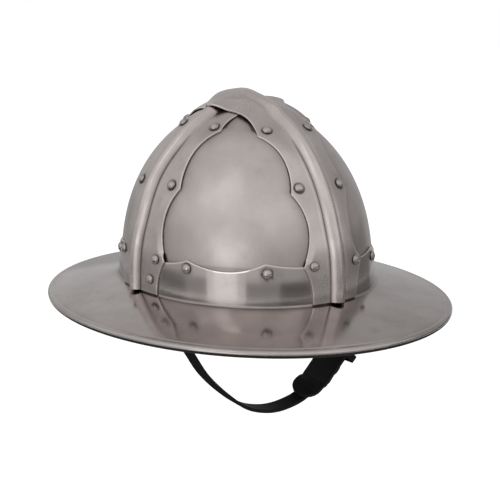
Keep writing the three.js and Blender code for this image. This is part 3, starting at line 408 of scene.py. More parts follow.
def skull_side(points):
    spread = np.hypot(points[..., 0] / SKULL_HALF_WIDTH, points[..., 1] / SKULL_HALF_LENGTH)
    rise = np.maximum(points[..., 2], 0) / SKULL_HEIGHT
    return spread ** SPREAD_POWER + rise ** RISE_POWER - 1


def skull_normal(points):
    spread = np.hypot(points[..., 0] / SKULL_HALF_WIDTH, points[..., 1] / SKULL_HALF_LENGTH)
    across = SPREAD_POWER * np.maximum(spread, LEAST_SPREAD) ** (SPREAD_POWER - 2)
    rise = np.maximum(points[..., 2], 0) / SKULL_HEIGHT
    slope = np.stack([
        across * points[..., 0] / SKULL_HALF_WIDTH ** 2,
        across * points[..., 1] / SKULL_HALF_LENGTH ** 2,
        RISE_POWER * rise ** (RISE_POWER - 1) / SKULL_HEIGHT,
    ], axis=-1)
    return unit(slope)


def raised(points, height):
    return points + skull_normal(points) * np.asarray(height)[..., None]


print("apex", skull_point(0.0, SKULL_HEIGHT).round(2), "foot", skull_point(0.0, 0.0).round(2))

# %% [markdown]
# ## Making a piece
# A sheet is a loft: a section that goes once round the sheet, carried along rows. The section has
# small rounded edges, because a real edge is filed and catches a line of light. `make_piece`
# turns points in millimetres into a mesh in metres whose faces point outwards, and keeps creases
# sharp. `make_loft` does so for rows of sections, which end in caps unless the last row joins the
# first.

# %% Making a piece
EDGE_STEPS, EDGE_ROOM = 4, 0.45


def store(mesh, name, values):
    stored = mesh.attributes.new(name, "FLOAT", "POINT")
    stored.data.foreach_set("value", np.asarray(values, dtype=np.float32).ravel())


def smooth(mesh):
    mesh.polygons.foreach_set("use_smooth", [True] * len(mesh.polygons))


def signed_volume(mesh):
    """The volume inside a closed mesh, below 0 where its faces point inward."""
    mesh.calc_loop_triangles()
    triangles = np.empty(len(mesh.loop_triangles) * 3, dtype=int)
    mesh.loop_triangles.foreach_get("vertices", triangles)
    a, b, c = points_of(mesh)[triangles.reshape(-1, 3).T] * MILLIMETRE
    return float(np.einsum("ij,ij->i", a, np.cross(b, c)).sum()) / 6


def turn_outward(mesh):
    if signed_volume(mesh) < 0:
        mesh.flip_normals()


def points_of(mesh):
    """A mesh's points in millimetres."""
    flat = np.empty(len(mesh.vertices) * 3)
    mesh.vertices.foreach_get("co", flat)
    return flat.reshape(-1, 3) / MILLIMETRE


def make_piece(name, points, faces, material, grime=None, sharp=40.0, polish=None):
    mesh = bpy.data.meshes.new(name)
    points = (np.asarray(points) * MILLIMETRE).tolist()
    mesh.from_pydata(points, [], [list(face) for face in faces])
    smooth(mesh)
    if grime is not None:
        store(mesh, "grime", grime)
    if polish is not None:
        store(mesh, "polish", polish)
    mesh.update()
    turn_outward(mesh)
    mesh.set_sharp_from_angle(angle=math.radians(sharp))
    mesh.materials.append(material)
    return add_object(name, mesh)


def loft_faces(rows, size, joined=False):
    row, step = np.meshgrid(np.arange(rows if joined else rows - 1), np.arange(size), indexing="ij")
    here, after = row * size, (row + 1) % rows * size
    beside = (step + 1) % size
    walls = np.stack([here + step, here + beside, after + beside, after + step], -1)
    faces = walls.reshape(-1, 4).tolist()
    if not joined:
        for base, order in ((0, 1), ((rows - 1) * size, -1)):
            for k in range(size // 2 - 1):
                ladder = [base + k, base + k + 1, base + size - 2 - k, base + size - 1 - k]
                faces.append(ladder[::order])
    return faces


def make_loft(name, rows, material, grime=None, joined=False, **looks):
    faces = loft_faces(*rows.shape[:2], joined=joined)
    return make_piece(name, rows.reshape(-1, 3), faces, material, grime, **looks)


def round_edge(radius):
    """How far the points of a rounded edge lie in from the side and down from the face."""
    bend = np.linspace(0, QUARTER_TURN, EDGE_STEPS)
    return radius * (1 - np.cos(bend)), radius * (1 - np.sin(bend))


def round_section(across, thickness, edge):
    """Goes once round a sheet. across is (rows, columns) from edge to edge."""
    inset, drop = round_edge(edge)
    first, last = across[:, :1], across[:, -1:]
    edge_room = np.minimum(edge, (last - first) * EDGE_ROOM)
    middle = np.clip(across[:, 1:-1], first + edge_room, last - edge_room)
    squeeze = edge_room / edge
    round_first, round_last = first + inset * squeeze, last - inset * squeeze
    full, none = np.full(middle.shape[1], thickness), np.zeros(middle.shape[1])
    outside = [round_first, middle, round_last[:, ::-1]]
    around = np.hstack([*outside, *(part[:, ::-1] for part in outside[::-1])])
    upper = thickness - drop
    height = np.concatenate([upper, full, upper[::-1], drop, none, drop[::-1]])
    return around, height


# How near a point is to either edge of a section, 1 at the edge. It marks worn leather edges, and
# lightens the bands' edges as rubbed metal and painted highlight.
def edge_nearness(around, reach):
    low, high = around.min(axis=1, keepdims=True), around.max(axis=1, keepdims=True)
    return np.exp(-np.minimum(around - low, high - around) / reach)


print("loft helpers ready")

# %% [markdown]
# ## Geometry Nodes helpers
# Rivets and stitches repeat, so a tree makes one and instances it on points. `new_tree` opens a
# tree with named inputs, and `grow` runs it: it sets the inputs by their identifiers and takes
# the result as a plain mesh. The points carry their own directions and lengths as attributes.

# %% Geometry Nodes helpers
def new_tree(name, inputs):
    tree = bpy.data.node_groups.new(name, "GeometryNodeTree")
    tree.interface.new_socket("Geometry", in_out="INPUT", socket_type="NodeSocketGeometry")
    for label, default in inputs.items():
        kind = "NodeSocketMaterial" if default is None else "NodeSocketFloat"
        socket = tree.interface.new_socket(label, in_out="INPUT", socket_type=kind)
        if default is not None:
            socket.default_value = default
    tree.interface.new_socket("Geometry", in_out="OUTPUT", socket_type="NodeSocketGeometry")
    graph = Graph(tree)
    entry = tree.nodes.new("NodeGroupInput")
    sizes = {socket.name: Value(graph, socket) for socket in entry.outputs if socket.name}
    return graph, sizes


def end_tree(graph, shape, finish):
    whole = graph.node("GeometryNodeRealizeInstances", values={"Geometry": shape})
    dressed = graph.node("GeometryNodeSetMaterial", values={"Geometry": whole, "Material": finish})
    leave = graph.tree.nodes.new("NodeGroupOutput")
    graph.feed(leave.inputs["Geometry"], dressed)
    return graph.tree


def applied(piece, modifier):
    """The mesh that a modifier makes of a piece. The modifier is dropped."""
    view = bpy.context.evaluated_depsgraph_get()
    mesh = bpy.data.meshes.new_from_object(piece.evaluated_get(view))
    piece.modifiers.remove(modifier)
    return mesh


def grow(name, base, tree, inputs):
    source = add_object(name + "_source", base)
    modifier = source.modifiers.new("grow", "NODES")
    modifier.node_group = tree
    for item in tree.interface.items_tree:
        if item.item_type == "SOCKET" and item.in_out == "INPUT" and item.name in inputs:
            modifier[item.identifier] = inputs[item.name]
    mesh = applied(source, modifier)
    mesh.name = name
    bpy.data.objects.remove(source)
    return add_object(name, mesh)


def point_mesh(name, places, **attributes):
    mesh = bpy.data.meshes.new(name)
    mesh.from_pydata((np.asarray(places) * MILLIMETRE).tolist(), [], [])
    for key, values in attributes.items():
        values = np.asarray(values, dtype=np.float32)
        kind, field = ("FLOAT_VECTOR", "vector") if values.ndim == 2 else ("FLOAT", "value")
        mesh.attributes.new(key, kind, "POINT").data.foreach_set(field, values.ravel())
    return mesh


def named(graph, name, kind="FLOAT"):
    settings = {"data_type": kind}
    return graph.node("GeometryNodeInputNamedAttribute", settings, {"Name": name}, "Attribute")


def facing(graph, direction, axis="Z", **turn):
    """A rotation that turns one axis of an instance to a direction."""
    settings = {"axis": axis}
    if turn:
        settings["pivot_axis"] = "Z"
    values = {"Vector": direction, **turn}
    return graph.node("FunctionNodeAlignRotationToVector", settings, values)


print("tree helpers ready")

# %% [markdown]
# ## Bands
# Each band is a strip of sheet bent over the skull in an upright plane, from foot to foot. A
# point some way across it is found from the plane that touches the skull at the band's centre
# line: we drop from there onto the skull, and find where by halving. The half width follows a
# rule of arcs: each arc is hollow and meets the next in a point beside a rivet.

# %% Where a band lies
BAND_FOOT_HEIGHT = 1.6
BAND_HALF_WIDTH = 28.6
POINT_WIDTHS = (1.0, 0.97, 1.05)
WAIST_WIDTHS = (0.76, 0.72, 0.78, 0.925)
CROWN_WAIST_SHARE, CROWN_WIDTH, CROWN_CURVE = 0.32, 1.25, 1.7
ARC_ROWS = (30, 78, 76, 84)
BANDS = {
    "cross": {"axis": 0, "reach": SKULL_HALF_WIDTH, "points": (0.195, 0.582, 0.884)},
    "long": {"axis": 1, "reach": SKULL_HALF_LENGTH, "points": (0.207, 0.58, 0.872)},
}
CROSS_SHIFT, CROSS_STRAIGHT_HEIGHT, CROSS_RETURN_RUN = 6.0, 85.0, 45.0
LEAST_DROP = 1e-3


def band_shift(band, height):
    """The cross band lies a little behind the skull's middle and returns to it at the crown."""
    if band == "long":
        return np.zeros(np.shape(height))
    return CROSS_SHIFT * (1 - ease((np.asarray(height) - CROSS_STRAIGHT_HEIGHT) / CROSS_RETURN_RUN))


def band_place(band, along, across, height):
    pair = (along, across) if BANDS[band]["axis"] == 0 else (across, along)
    return np.stack(np.broadcast_arrays(*pair, height), axis=-1)


def band_point(band, end, rise, across):
    """Skull point at a rise on one end of a band, some way across from its middle plane."""
    rise, across = np.broadcast_arrays(rise, across)
    across = across + band_shift(band, height_at(rise))
    centre = band_place(band, end * BANDS[band]["reach"] * spread_at(rise), 0.0, height_at(rise))
    drop = skull_normal(centre)
    start = centre + band_place(band, 0.0, across, 0.0)
    near, far = np.zeros(rise.shape), np.abs(across) + LEAST_DROP
    for _ in range(HALVINGS):
        middle = (near + far) / 2
        outside = skull_side(start - drop * middle[..., None]) > 0
        near, far = np.where(outside, middle, near), np.where(outside, far, middle)
    return start - drop * ((near + far) / 2)[..., None]


def band_keys(band):
    points = [float(rise_at(share * SKULL_HEIGHT)) for share in BANDS[band]["points"]]
    return [float(rise_at(BAND_FOOT_HEIGHT)), *points, QUARTER_TURN]


def band_rows(band):
    """Rises of the rows from foot to apex, and the half width at each."""
    keys, rises, halves = band_keys(band), [], []
    crown_arc = len(ARC_ROWS) - 1
    for arc, rows in enumerate(ARC_ROWS):
        share = np.linspace(0, 1, rows, endpoint=arc == crown_arc)
        rises.append(keys[arc] + (keys[arc + 1] - keys[arc]) * share)
        before, after = POINT_WIDTHS[max(arc - 1, 0)], (*POINT_WIDTHS, CROWN_WIDTH)[arc]
        waist = WAIST_WIDTHS[arc]
        if arc == 0:
            falling, rising = np.zeros(rows), share ** 2
        elif arc == crown_arc:
            past_waist = (share - CROWN_WAIST_SHARE) / (1 - CROWN_WAIST_SHARE)
            falling = np.clip(1 - share / CROWN_WAIST_SHARE, 0, 1) ** 2
            rising = np.clip(past_waist, 0, 1) ** CROWN_CURVE
        else:
            falling, rising = np.clip(1 - 2 * share, 0, 1) ** 2, np.clip(2 * share - 1, 0, 1) ** 2
        width = waist + (before - waist) * falling + (after - waist) * rising
        halves.append(BAND_HALF_WIDTH * width)
    rises = np.concatenate(rises)
    return rises, np.concatenate(halves) + band_shift(band, height_at(rises))


print("cross band keys", [round(key, 3) for key in band_keys("cross")])

# %% [markdown]
# ## How far a band stands off the skull
# At its foot a band lies over the collar, so it steps out by one sheet, and above the collar its
# edges are hammered down to the plate. At the crown the long band lies over the cross band, whose
# ridge is hammered low there, and bulges over what is left of it. The ridge is pressed over a
# round bar: its back is round, and its foot is a crease on the walls and soft on the crown.

# %% How far a band stands off
GAP = 0.3
BAND_GAP = 0.12
COLLAR_GAP = 0.2
JOGGLE_RUN = 30.0
EDGE_SET_REACH, EDGE_SET_START, EDGE_SET_RUN = 5.0, 0.8, 3.5
RIDGE_HALF_WIDTH = 6.2
RIDGE_HEIGHT = 5.6
CREASE_HALF_WIDTH, RIDGE_ROUND, SOFT_HALF_WIDTH = 6.7, 2.1, 9.0
SOFT_START_HEIGHT, SOFT_RUN = 110.0, 30.0
CROSS_FADE_START, CROSS_FADE_END, CROSS_LOW_SHARE = 34.0, 8.0, 0.15
CROWN_PRESS_HALF_LENGTH, CROWN_PRESS_RUN = 34.0, 16.0
CROWN_CLEARANCE = 0.3
RIDGE_COVER_HALF_WIDTH = 18.0
CROWN_SWELL, CROWN_SWELL_MIDDLE, CROWN_SWELL_LENGTH = 3.7, 46.0, 42.0
CROWN_SWELL_HALF_WIDTH = 34.0
CROSS_SWELL, CROSS_SWELL_MIDDLE, CROSS_SWELL_LENGTH = 4.4, 64.0, 22.0
COLLAR_POINT_HEIGHT = 34.0
COLLAR_POINT_HEIGHTS = (1.0, 0.985, 1.02, 1.06)


def collar_step(height):
    return (SHEET + COLLAR_GAP) * (1 - ease((height - COLLAR_POINT_HEIGHT) / JOGGLE_RUN))


def edge_set(height, across, half):
    """How far the edge of a band is hammered down to the plate, above the collar."""
    above = ease((height - COLLAR_POINT_HEIGHT + EDGE_SET_START) / EDGE_SET_RUN)
    beside = ease((np.abs(across) - half + EDGE_SET_REACH) / EDGE_SET_REACH)
    return collar_step(height) * above * beside


def bell(place, height, middle, length):
    """A soft hump along one direction."""
    return height * np.exp(-(((place - middle) / length) ** 2))


def cross_ridge_height(x):
    full = ease((np.abs(x) - CROSS_FADE_END) / (CROSS_FADE_START - CROSS_FADE_END))
    swell = bell(x, CROSS_SWELL, CROSS_SWELL_MIDDLE, CROSS_SWELL_LENGTH)
    return RIDGE_HEIGHT * (CROSS_LOW_SHARE + (1 - CROSS_LOW_SHARE) * full) + swell


def ridge_shape(across, half_width):
    share = np.clip(np.abs(across) / half_width, 0, 1)
    return (1 + np.cos(math.pi * share)) / 2


def ridge_back(across, height):
    """The outside of the ridge: creased at its foot on the skull's walls, soft on the crown."""
    soft = ease((height - SOFT_START_HEIGHT) / SOFT_RUN)
    creased = 1 - np.clip(np.abs(across) / CREASE_HALF_WIDTH, 0, 1) ** RIDGE_ROUND
    return creased + (ridge_shape(across, SOFT_HALF_WIDTH) - creased) * soft


def stand_off(band, points):
    x, y, z = np.moveaxis(points, -1, 0)
    low = BAND_GAP + collar_step(z)
    if band == "cross":
        return low
    press = 1 - ease((np.abs(y) - CROWN_PRESS_HALF_LENGTH) / CROWN_PRESS_RUN)
    cover = cross_ridge_height(x) * ridge_shape(y, RIDGE_COVER_HALF_WIDTH)
    swell = bell(y, CROWN_SWELL, CROWN_SWELL_MIDDLE, CROWN_SWELL_LENGTH)
    cover = cover + swell * ridge_shape(x, CROWN_SWELL_HALF_WIDTH)
    high = BAND_GAP + (SHEET + BAND_GAP + CROWN_CLEARANCE) * press + cover
    return np.where(z < SKULL_HEIGHT / 2, low, high)


def ridge_at(band, points):
    if band == "cross":
        return cross_ridge_height(points[..., 0])
    return np.full(points.shape[:-1], RIDGE_HEIGHT)


print("crown stand-off", float(stand_off("long", skull_point(0.0, SKULL_HEIGHT)[None])[0]))

# %% [markdown]
# ## Skull plates
# The four plates are quarters of the skull, dished from flat sheet. Their shape is the skull's
# rule and nothing else, so a Geometry Nodes tree makes them: a grid whose two directions become
# the rise and the turn, moved to the surface by the same powers as above, here as node
# expressions. Solidify gives the wall its thickness inwards.

# %% Skull plate tree
PLATE_FOOT_HEIGHT = 4.0
PLATE_TOP_RADIUS = 9.0
PLATE_SEAM = 1.2
PLATE_STEPS = 150


def plate_tree():
    graph, sizes = new_tree("skull_plate", {
        "Half width": 0.1, "Half length": 0.12, "Height": 0.15, "Rise power": 2.0,
        "Spread power": 2.0, "First rise": 0.1, "Last rise": 1.5, "Seam": 0.001,
        "Side": 1.0, "End": 1.0, "Finish": None,
    })
    grid = graph.node("GeometryNodeMeshGrid", values={
        "Size X": 1.0, "Size Y": 1.0, "Vertices X": PLATE_STEPS, "Vertices Y": PLATE_STEPS})
    u, v = (part + 0.5 for part in graph.position()[:2])
    rise = sizes["First rise"] + (sizes["Last rise"] - sizes["First rise"]) * v
    spread = rise.math("COSINE", rise) ** (2 / sizes["Spread power"])
    seam = sizes["Seam"] * 0.5
    first = seam.math("ARCSINE", seam / (sizes["Half length"] * spread))
    last = seam.math("ARCCOSINE", seam / (sizes["Half width"] * spread))
    turned = first + (last - first) * u
    x = sizes["Side"] * sizes["Half width"] * spread * turned.math("COSINE", turned)
    y = sizes["End"] * sizes["Half length"] * spread * turned.math("SINE", turned)
    z = sizes["Height"] * rise.math("SINE", rise) ** (2 / sizes["Rise power"])
    places = {"Geometry": grid, "Position": graph.vector(x, y, z)}
    return end_tree(graph, graph.node("GeometryNodeSetPosition", values=places), sizes["Finish"])


skull_plate_tree = plate_tree()
print("skull plate tree:", len(skull_plate_tree.nodes), "nodes")

# %% [markdown]
# ## Skull plates in place
# The tree runs four times, and two signs put each result in its quarter. The thickness is a
# modifier, because the liner covers most of the wall's inside. Where a band or the collar meets
# the plate, the steel is darkened: a narrow line that is partly dirt and partly painted shade,
# and a softer, wider border of painted shade.

# %% Skull plates in place
CORNER_REACH, SHADE_BORDER_SHARE, SHADE_BORDER_REACH = 1.0, 0.62, 7.0
COLLAR_DIRT_AND_SHADE, COLLAR_LINE_SHARE = 0.6, 0.9


def corner_dirt_and_shade(gap):
    """A dark line in the corner itself, partly dirt and partly painted shade, and a soft darker
    border of painted shade beyond it.
    """
    gap = np.maximum(gap, 0)
    return np.maximum(np.exp(-gap / CORNER_REACH), SHADE_BORDER_SHARE * np.exp(-gap / SHADE_BORDER_REACH))


def plate_dirt_and_shade(points):
    """Darkens the corner that a band or the collar makes with the plate, partly as dirt and partly
    as painted shade.
    """
    rise = rise_at(np.clip(points[:, 2], 0, SKULL_HEIGHT))
    grime = corner_dirt_and_shade(points[:, 2] - COLLAR_POINT_HEIGHT * COLLAR_LINE_SHARE) * COLLAR_DIRT_AND_SHADE
    for band, across in (("cross", points[:, 1]), ("long", points[:, 0])):
        half = np.interp(rise, *band_rows(band))
        gap = np.abs(across - band_shift(band, points[:, 2])) - half
        grime = np.maximum(grime, corner_dirt_and_shade(gap))
    return grime


top_rise = math.acos((PLATE_TOP_RADIUS / SKULL_HALF_WIDTH) ** (SPREAD_POWER / 2))
plate_sizes = {
    "Half width": SKULL_HALF_WIDTH * MILLIMETRE, "Half length": SKULL_HALF_LENGTH * MILLIMETRE,
    "Height": SKULL_HEIGHT * MILLIMETRE, "Rise power": RISE_POWER, "Spread power": SPREAD_POWER,
    "First rise": float(rise_at(PLATE_FOOT_HEIGHT)), "Last rise": top_rise,
    "Seam": PLATE_SEAM * MILLIMETRE, "Finish": skull_steel,
}
for end, end_sign in (("front", -1.0), ("rear", 1.0)):
    for side, side_sign in (("right", -1.0), ("left", 1.0)):
        name = f"skull_plate_{end}_{side}"
        base = bpy.data.meshes.new("plate_base")
        signs = {"Side": side_sign, "End": end_sign}
        plate = grow(f"plate_{end}_{side}", base, skull_plate_tree, plate_sizes | signs)
        middle = plate.data.polygons[len(plate.data.polygons) // 2]
        if middle.normal.dot(middle.center) < 0:
            plate.data.flip_normals()
        store(plate.data, "grime", plate_dirt_and_shade(points_of(plate.data)))
        smooth(plate.data)
        wall = plate.modifiers.new("wall", "SOLIDIFY")
        wall.thickness = SHEET * MILLIMETRE
        wall.offset = -1.0
        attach(plate, "hat")
        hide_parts(name)
print("plates of", PLATE_STEPS, "by", PLATE_STEPS, "points")

# %% [markdown]
# ## Rivets' places
# Every rivet is driven square to the skull. We keep its name, its point on the skull, and how far
# its head and its tail stand from that point, so that both sit on the sheets that they hold.

# %% Rivets' places
CROSS_RIVETS = ((0.2004, 25.4), (0.5878, 23.8), (0.8884, 22.1))
LONG_RIVETS = ((0.2104, 20.4), (0.6032, 20.2), (0.8818, 20.6))
COLLAR_RIVET_HEIGHT = 27.0
COLLAR_RIVET_SHARES = (0.277, 0.65)
STRAP_RIVET_HEIGHT, STRAP_RIVET_REACH = 13.0, 20.0
LINER_TOP_HEIGHT = 46.0
LEATHER = 2.0
rivet_nodes, rivet_places, rivet_seats, rivet_tails = [], [], [], []


def keep_rivet(node, point, seat, tail):
    rivet_nodes.append(node)
    rivet_places.append(point)
    rivet_seats.append(seat)
    rivet_tails.append(tail)


TAIL_ROOM = 0.8
PLATE_BACK = -SHEET - TAIL_ROOM
LINER_BACK = -SHEET - GAP - LEATHER - TAIL_ROOM
BAND_RIVETS = {
    "cross": (("right", "left"), ("front", "rear"), CROSS_RIVETS),
    "long": (("front", "rear"), ("right", "left"), LONG_RIVETS),
}
for band, (ends, flanks, levels) in BAND_RIVETS.items():
    for end_sign, end in zip((-1, 1), ends):
        for flank_sign, flank in zip((-1, 1), flanks):
            for level, (share, reach) in enumerate(levels, 1):
                height = share * SKULL_HEIGHT
                point = band_point(band, end_sign, rise_at(height), flank_sign * reach)
                tail = LINER_BACK if height < LINER_TOP_HEIGHT else PLATE_BACK
                seat = float(stand_off(band, point[None])[0]) + SHEET + GAP
                keep_rivet(f"{band}_band_rivet_{end}_{flank}_{level}", point, seat, tail)
for end_sign, end in ((-1, "front"), (1, "rear")):
    for side_sign, side in ((-1, "right"), (1, "left")):
        for index, share in enumerate(COLLAR_RIVET_SHARES, 1):
            turned = share * QUARTER_TURN
            angle = math.atan2(end_sign * math.sin(turned), side_sign * math.cos(turned))
            point = skull_point(angle, COLLAR_RIVET_HEIGHT)
            seat = COLLAR_GAP + SHEET + GAP
            keep_rivet(f"collar_rivet_{end}_{side}_{index}", point, seat, LINER_BACK)
strap_rise = rise_at(STRAP_RIVET_HEIGHT)
strap_rivet_points = [band_point("cross", end, strap_rise, -STRAP_RIVET_REACH) for end in (-1, 1)]
rivet_centres = np.array(rivet_places + strap_rivet_points)
print("rivets:", len(rivet_centres))

# %% [markdown]
# ## Dirt and painted shadow round a rivet
# A dark line round each head on the sheet, with a fainter ring beyond, is partly dirt that a
# cloth can't reach and partly the head's painted shadow. It is worked out from the distance to
# the nearest rivet.

# %% Dirt and painted shadow round a rivet
HEAD_RADIUS, HEAD_LINE_GAP, HEAD_LINE_REACH = 4.0, 0.9, 0.6
RING_SHARE, RING_REACH = 0.4, 4.0


def rivet_dirt_and_shadow(points):
    gap = np.linalg.norm(points[..., None, :] - rivet_centres, axis=-1).min(axis=-1) - HEAD_RADIUS
    line = np.exp(-np.maximum(gap - HEAD_LINE_GAP, 0) / HEAD_LINE_REACH)
    return np.maximum(line, RING_SHARE * np.exp(-np.maximum(gap, 0) / RING_REACH))


print("dirt beside a head", rivet_dirt_and_shadow(rivet_centres[0] + (HEAD_RADIUS, 0, 0)).round(2))

# %% [markdown]
# ## The two bands as sheets
# A row's section goes once round the sheet: flange, ridge, flange, edge, and back inside. Columns
# crowd at the creases, where the form turns quickly. The whole band is one loft from foot to
# foot. The creases and the rings round the rivets are darkened, partly as dirt and partly as
# painted shade; the ridge's back, a line beside each crease and the edges are lightened, partly as
# rubbed metal and partly as painted highlight.

# %% Bands
EDGE_RADIUS = 0.45
FLANGE_COLUMNS, RIDGE_COLUMNS = 22, 37
FOOT_LINE_REACH, FOOT_LINE_SOFT, FOOT_LINE_CREASED = 0.9, 0.3, 0.65
RUB_AND_HIGHLIGHT, BACK_REACH, SHOULDER_GAP, SHOULDER_REACH, EDGE_RUB_AND_HIGHLIGHT_REACH = 0.45, 2.0, 2.6, 0.9, 0.6


def band_columns(half):
    half = half[:, None]
    flange = np.linspace(1, 0, FLANGE_COLUMNS, endpoint=False)[None]
    turned = np.linspace(-QUARTER_TURN, QUARTER_TURN, RIDGE_COLUMNS)
    ridge = CREASE_HALF_WIDTH * np.sin(turned)[None]
    outer = CREASE_HALF_WIDTH + (half - CREASE_HALF_WIDTH) * flange
    return np.hstack([-outer, np.repeat(ridge, len(half), axis=0), outer[:, ::-1]])


def band_half(band, end):
    rises, halves = band_rows(band)
    across, height = round_section(band_columns(halves), SHEET, EDGE_RADIUS)
    rises = rises[:, None]
    under = band_point(band, end, rises, across)
    ridge = ridge_at(band, under)
    inner, outer = ridge_shape(across, RIDGE_HALF_WIDTH), ridge_back(across, under[..., 2])
    form = inner + (outer - inner) * height / SHEET
    lift = stand_off(band, under) + ridge * form + height
    lift = lift - edge_set(under[..., 2], across, halves[:, None])
    points = raised(under, lift)
    creased = 1 - ease((under[..., 2] - SOFT_START_HEIGHT) / SOFT_RUN)
    from_crease = np.abs(across) - CREASE_HALF_WIDTH
    # A dark line along each crease of the ridge: partly dirt, partly painted shade.
    foot = np.exp(-np.abs(from_crease) / FOOT_LINE_REACH)
    foot = foot * (FOOT_LINE_SOFT + FOOT_LINE_CREASED * creased)
    # Light lines on the ridge's back, beside each crease and along the band's edges: partly rubbed
    # metal, partly painted highlight.
    back = bell(across, RUB_AND_HIGHLIGHT, 0, BACK_REACH)
    shoulder = bell(from_crease, RUB_AND_HIGHLIGHT, SHOULDER_GAP, SHOULDER_REACH) * creased
    grime = np.maximum(rivet_dirt_and_shadow(points), foot * (ridge > 1))
    polish = np.maximum(edge_nearness(across, EDGE_RUB_AND_HIGHLIGHT_REACH), (back + shoulder) * (ridge > 1))
    return points, grime, polish


for band in BANDS:
    ends = zip(band_half(band, -1), band_half(band, 1))
    rows, grime, polish = (np.concatenate([first, second[-2::-1]]) for first, second in ends)
    piece = make_loft(band + "_band_sheet", rows, band_steel, grime, polish=polish)
    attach(piece, "hat")
    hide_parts(band + "_band")
    print(band, "band:", rows.shape[0], "rows of", rows.shape[1])

# %% [markdown]
# ## Brim and collar
# The brim is one sheet turned round the hat. Its outline at each angle starts inside the collar,
# goes over its scalloped edge, down the outside, over a tight crease, along the brim to a rim
# that is rolled round a wire, and back underneath. The collar's height changes with the angle in
# hollow arches that meet in points. A smith raises the collar from the flat brim, so both are one
# piece here too, and the crease between them needs no joint.

# %% Outline of the brim
RIM_HALF_WIDTH, RIM_HALF_LENGTH, RIM_DROP = 163.2, 189.4, 12.8
BEAD_RADIUS, GROOVE, CREASE_RADIUS = 3.0, 0.3, 2.2
COLLAR_POINTS = (0.0, 0.277, 0.642, 1.0)
COLLAR_WAISTS = (0.85, 0.81, 0.92)
COLLAR_STEPS = (28, 40, 36)


def collar_quarter():
    """Angles over a quarter of the base, and the collar's top at each."""
    angles, tops = [], []
    for arch, steps in enumerate(COLLAR_STEPS):
        along = np.linspace(0, 1, steps, endpoint=False)
        share = COLLAR_POINTS[arch] + (COLLAR_POINTS[arch + 1] - COLLAR_POINTS[arch]) * along
        point = np.where(along > 0.5, COLLAR_POINT_HEIGHTS[arch + 1], COLLAR_POINT_HEIGHTS[arch])
        waist = COLLAR_WAISTS[arch]
        angles.append(share * QUARTER_TURN)
        tops.append(COLLAR_POINT_HEIGHT * (waist + (point - waist) * (2 * along - 1) ** 2))
    return np.concatenate(angles), np.concatenate(tops)


quarter, quarter_tops = collar_quarter()
middle_top = COLLAR_POINT_HEIGHT * COLLAR_POINT_HEIGHTS[-1]
half_angles = np.concatenate([quarter, [QUARTER_TURN], math.pi - quarter[:0:-1]])
half_tops = np.concatenate([quarter_tops, [middle_top], quarter_tops[:0:-1]])
brim_angles = np.concatenate([half_angles, half_angles + math.pi])
collar_tops = np.concatenate([half_tops, half_tops])
print("brim:", len(brim_angles), "angles")

# %% [markdown]
# ## The brim's section
# At every angle the section passes through the same stages, so one call of `add` sets a row of
# points for all angles at once, with its share of darkening and lightening. The darkening in the
# crease, the groove and inside the collar is partly dirt and partly painted shade, underneath it
# is painted shade, and the lightened top edge of the collar is partly rubbed metal and partly a
# painted highlight. `collar`, `crease` and `line` give the three kinds of place: up the skull,
# round the bend and out along the brim.

# %% The brim's section
# How much each stage is darkened: partly dirt and partly painted shade, and underneath painted
# shade alone.
COLLAR_FOOT_DIRT_AND_SHADE, COLLAR_FOOT_RATE = 0.55, 9
CREASE_DIRT_AND_SHADE, INSIDE_DIRT_AND_SHADE, UNDER_SHADE = 0.6, 0.3, 0.1
BRIM_FOOT_DIRT_AND_SHADE, BRIM_FOOT_RATE, GROOVE_DIRT_AND_SHADE, GROOVE_RATE = 0.4, 14, 0.35, 16
GROOVE_STEPS = ((0.0, 4.0), (0.5, 2.0), (1.0, 1.0), (1.0, 0.1))
GROOVE_SEAT = 0.75
BEAD_FIRST, BEAD_LAST, BEAD_UNDER, BEAD_DIRT_AND_SHADE, BEAD_UNDER_SHADE = 0.64, -0.96, 0.1, 0.15, 0.5
WALL_SHARES, INNER_WALL_SHARES = np.linspace(0.06, 1, 12, endpoint=False), np.linspace(1, 0.04, 8)
BRIM_SHARES, UNDERSIDE_SHARES = np.linspace(0.03, 0.97, 22), np.linspace(0.98, 0.04, 14)


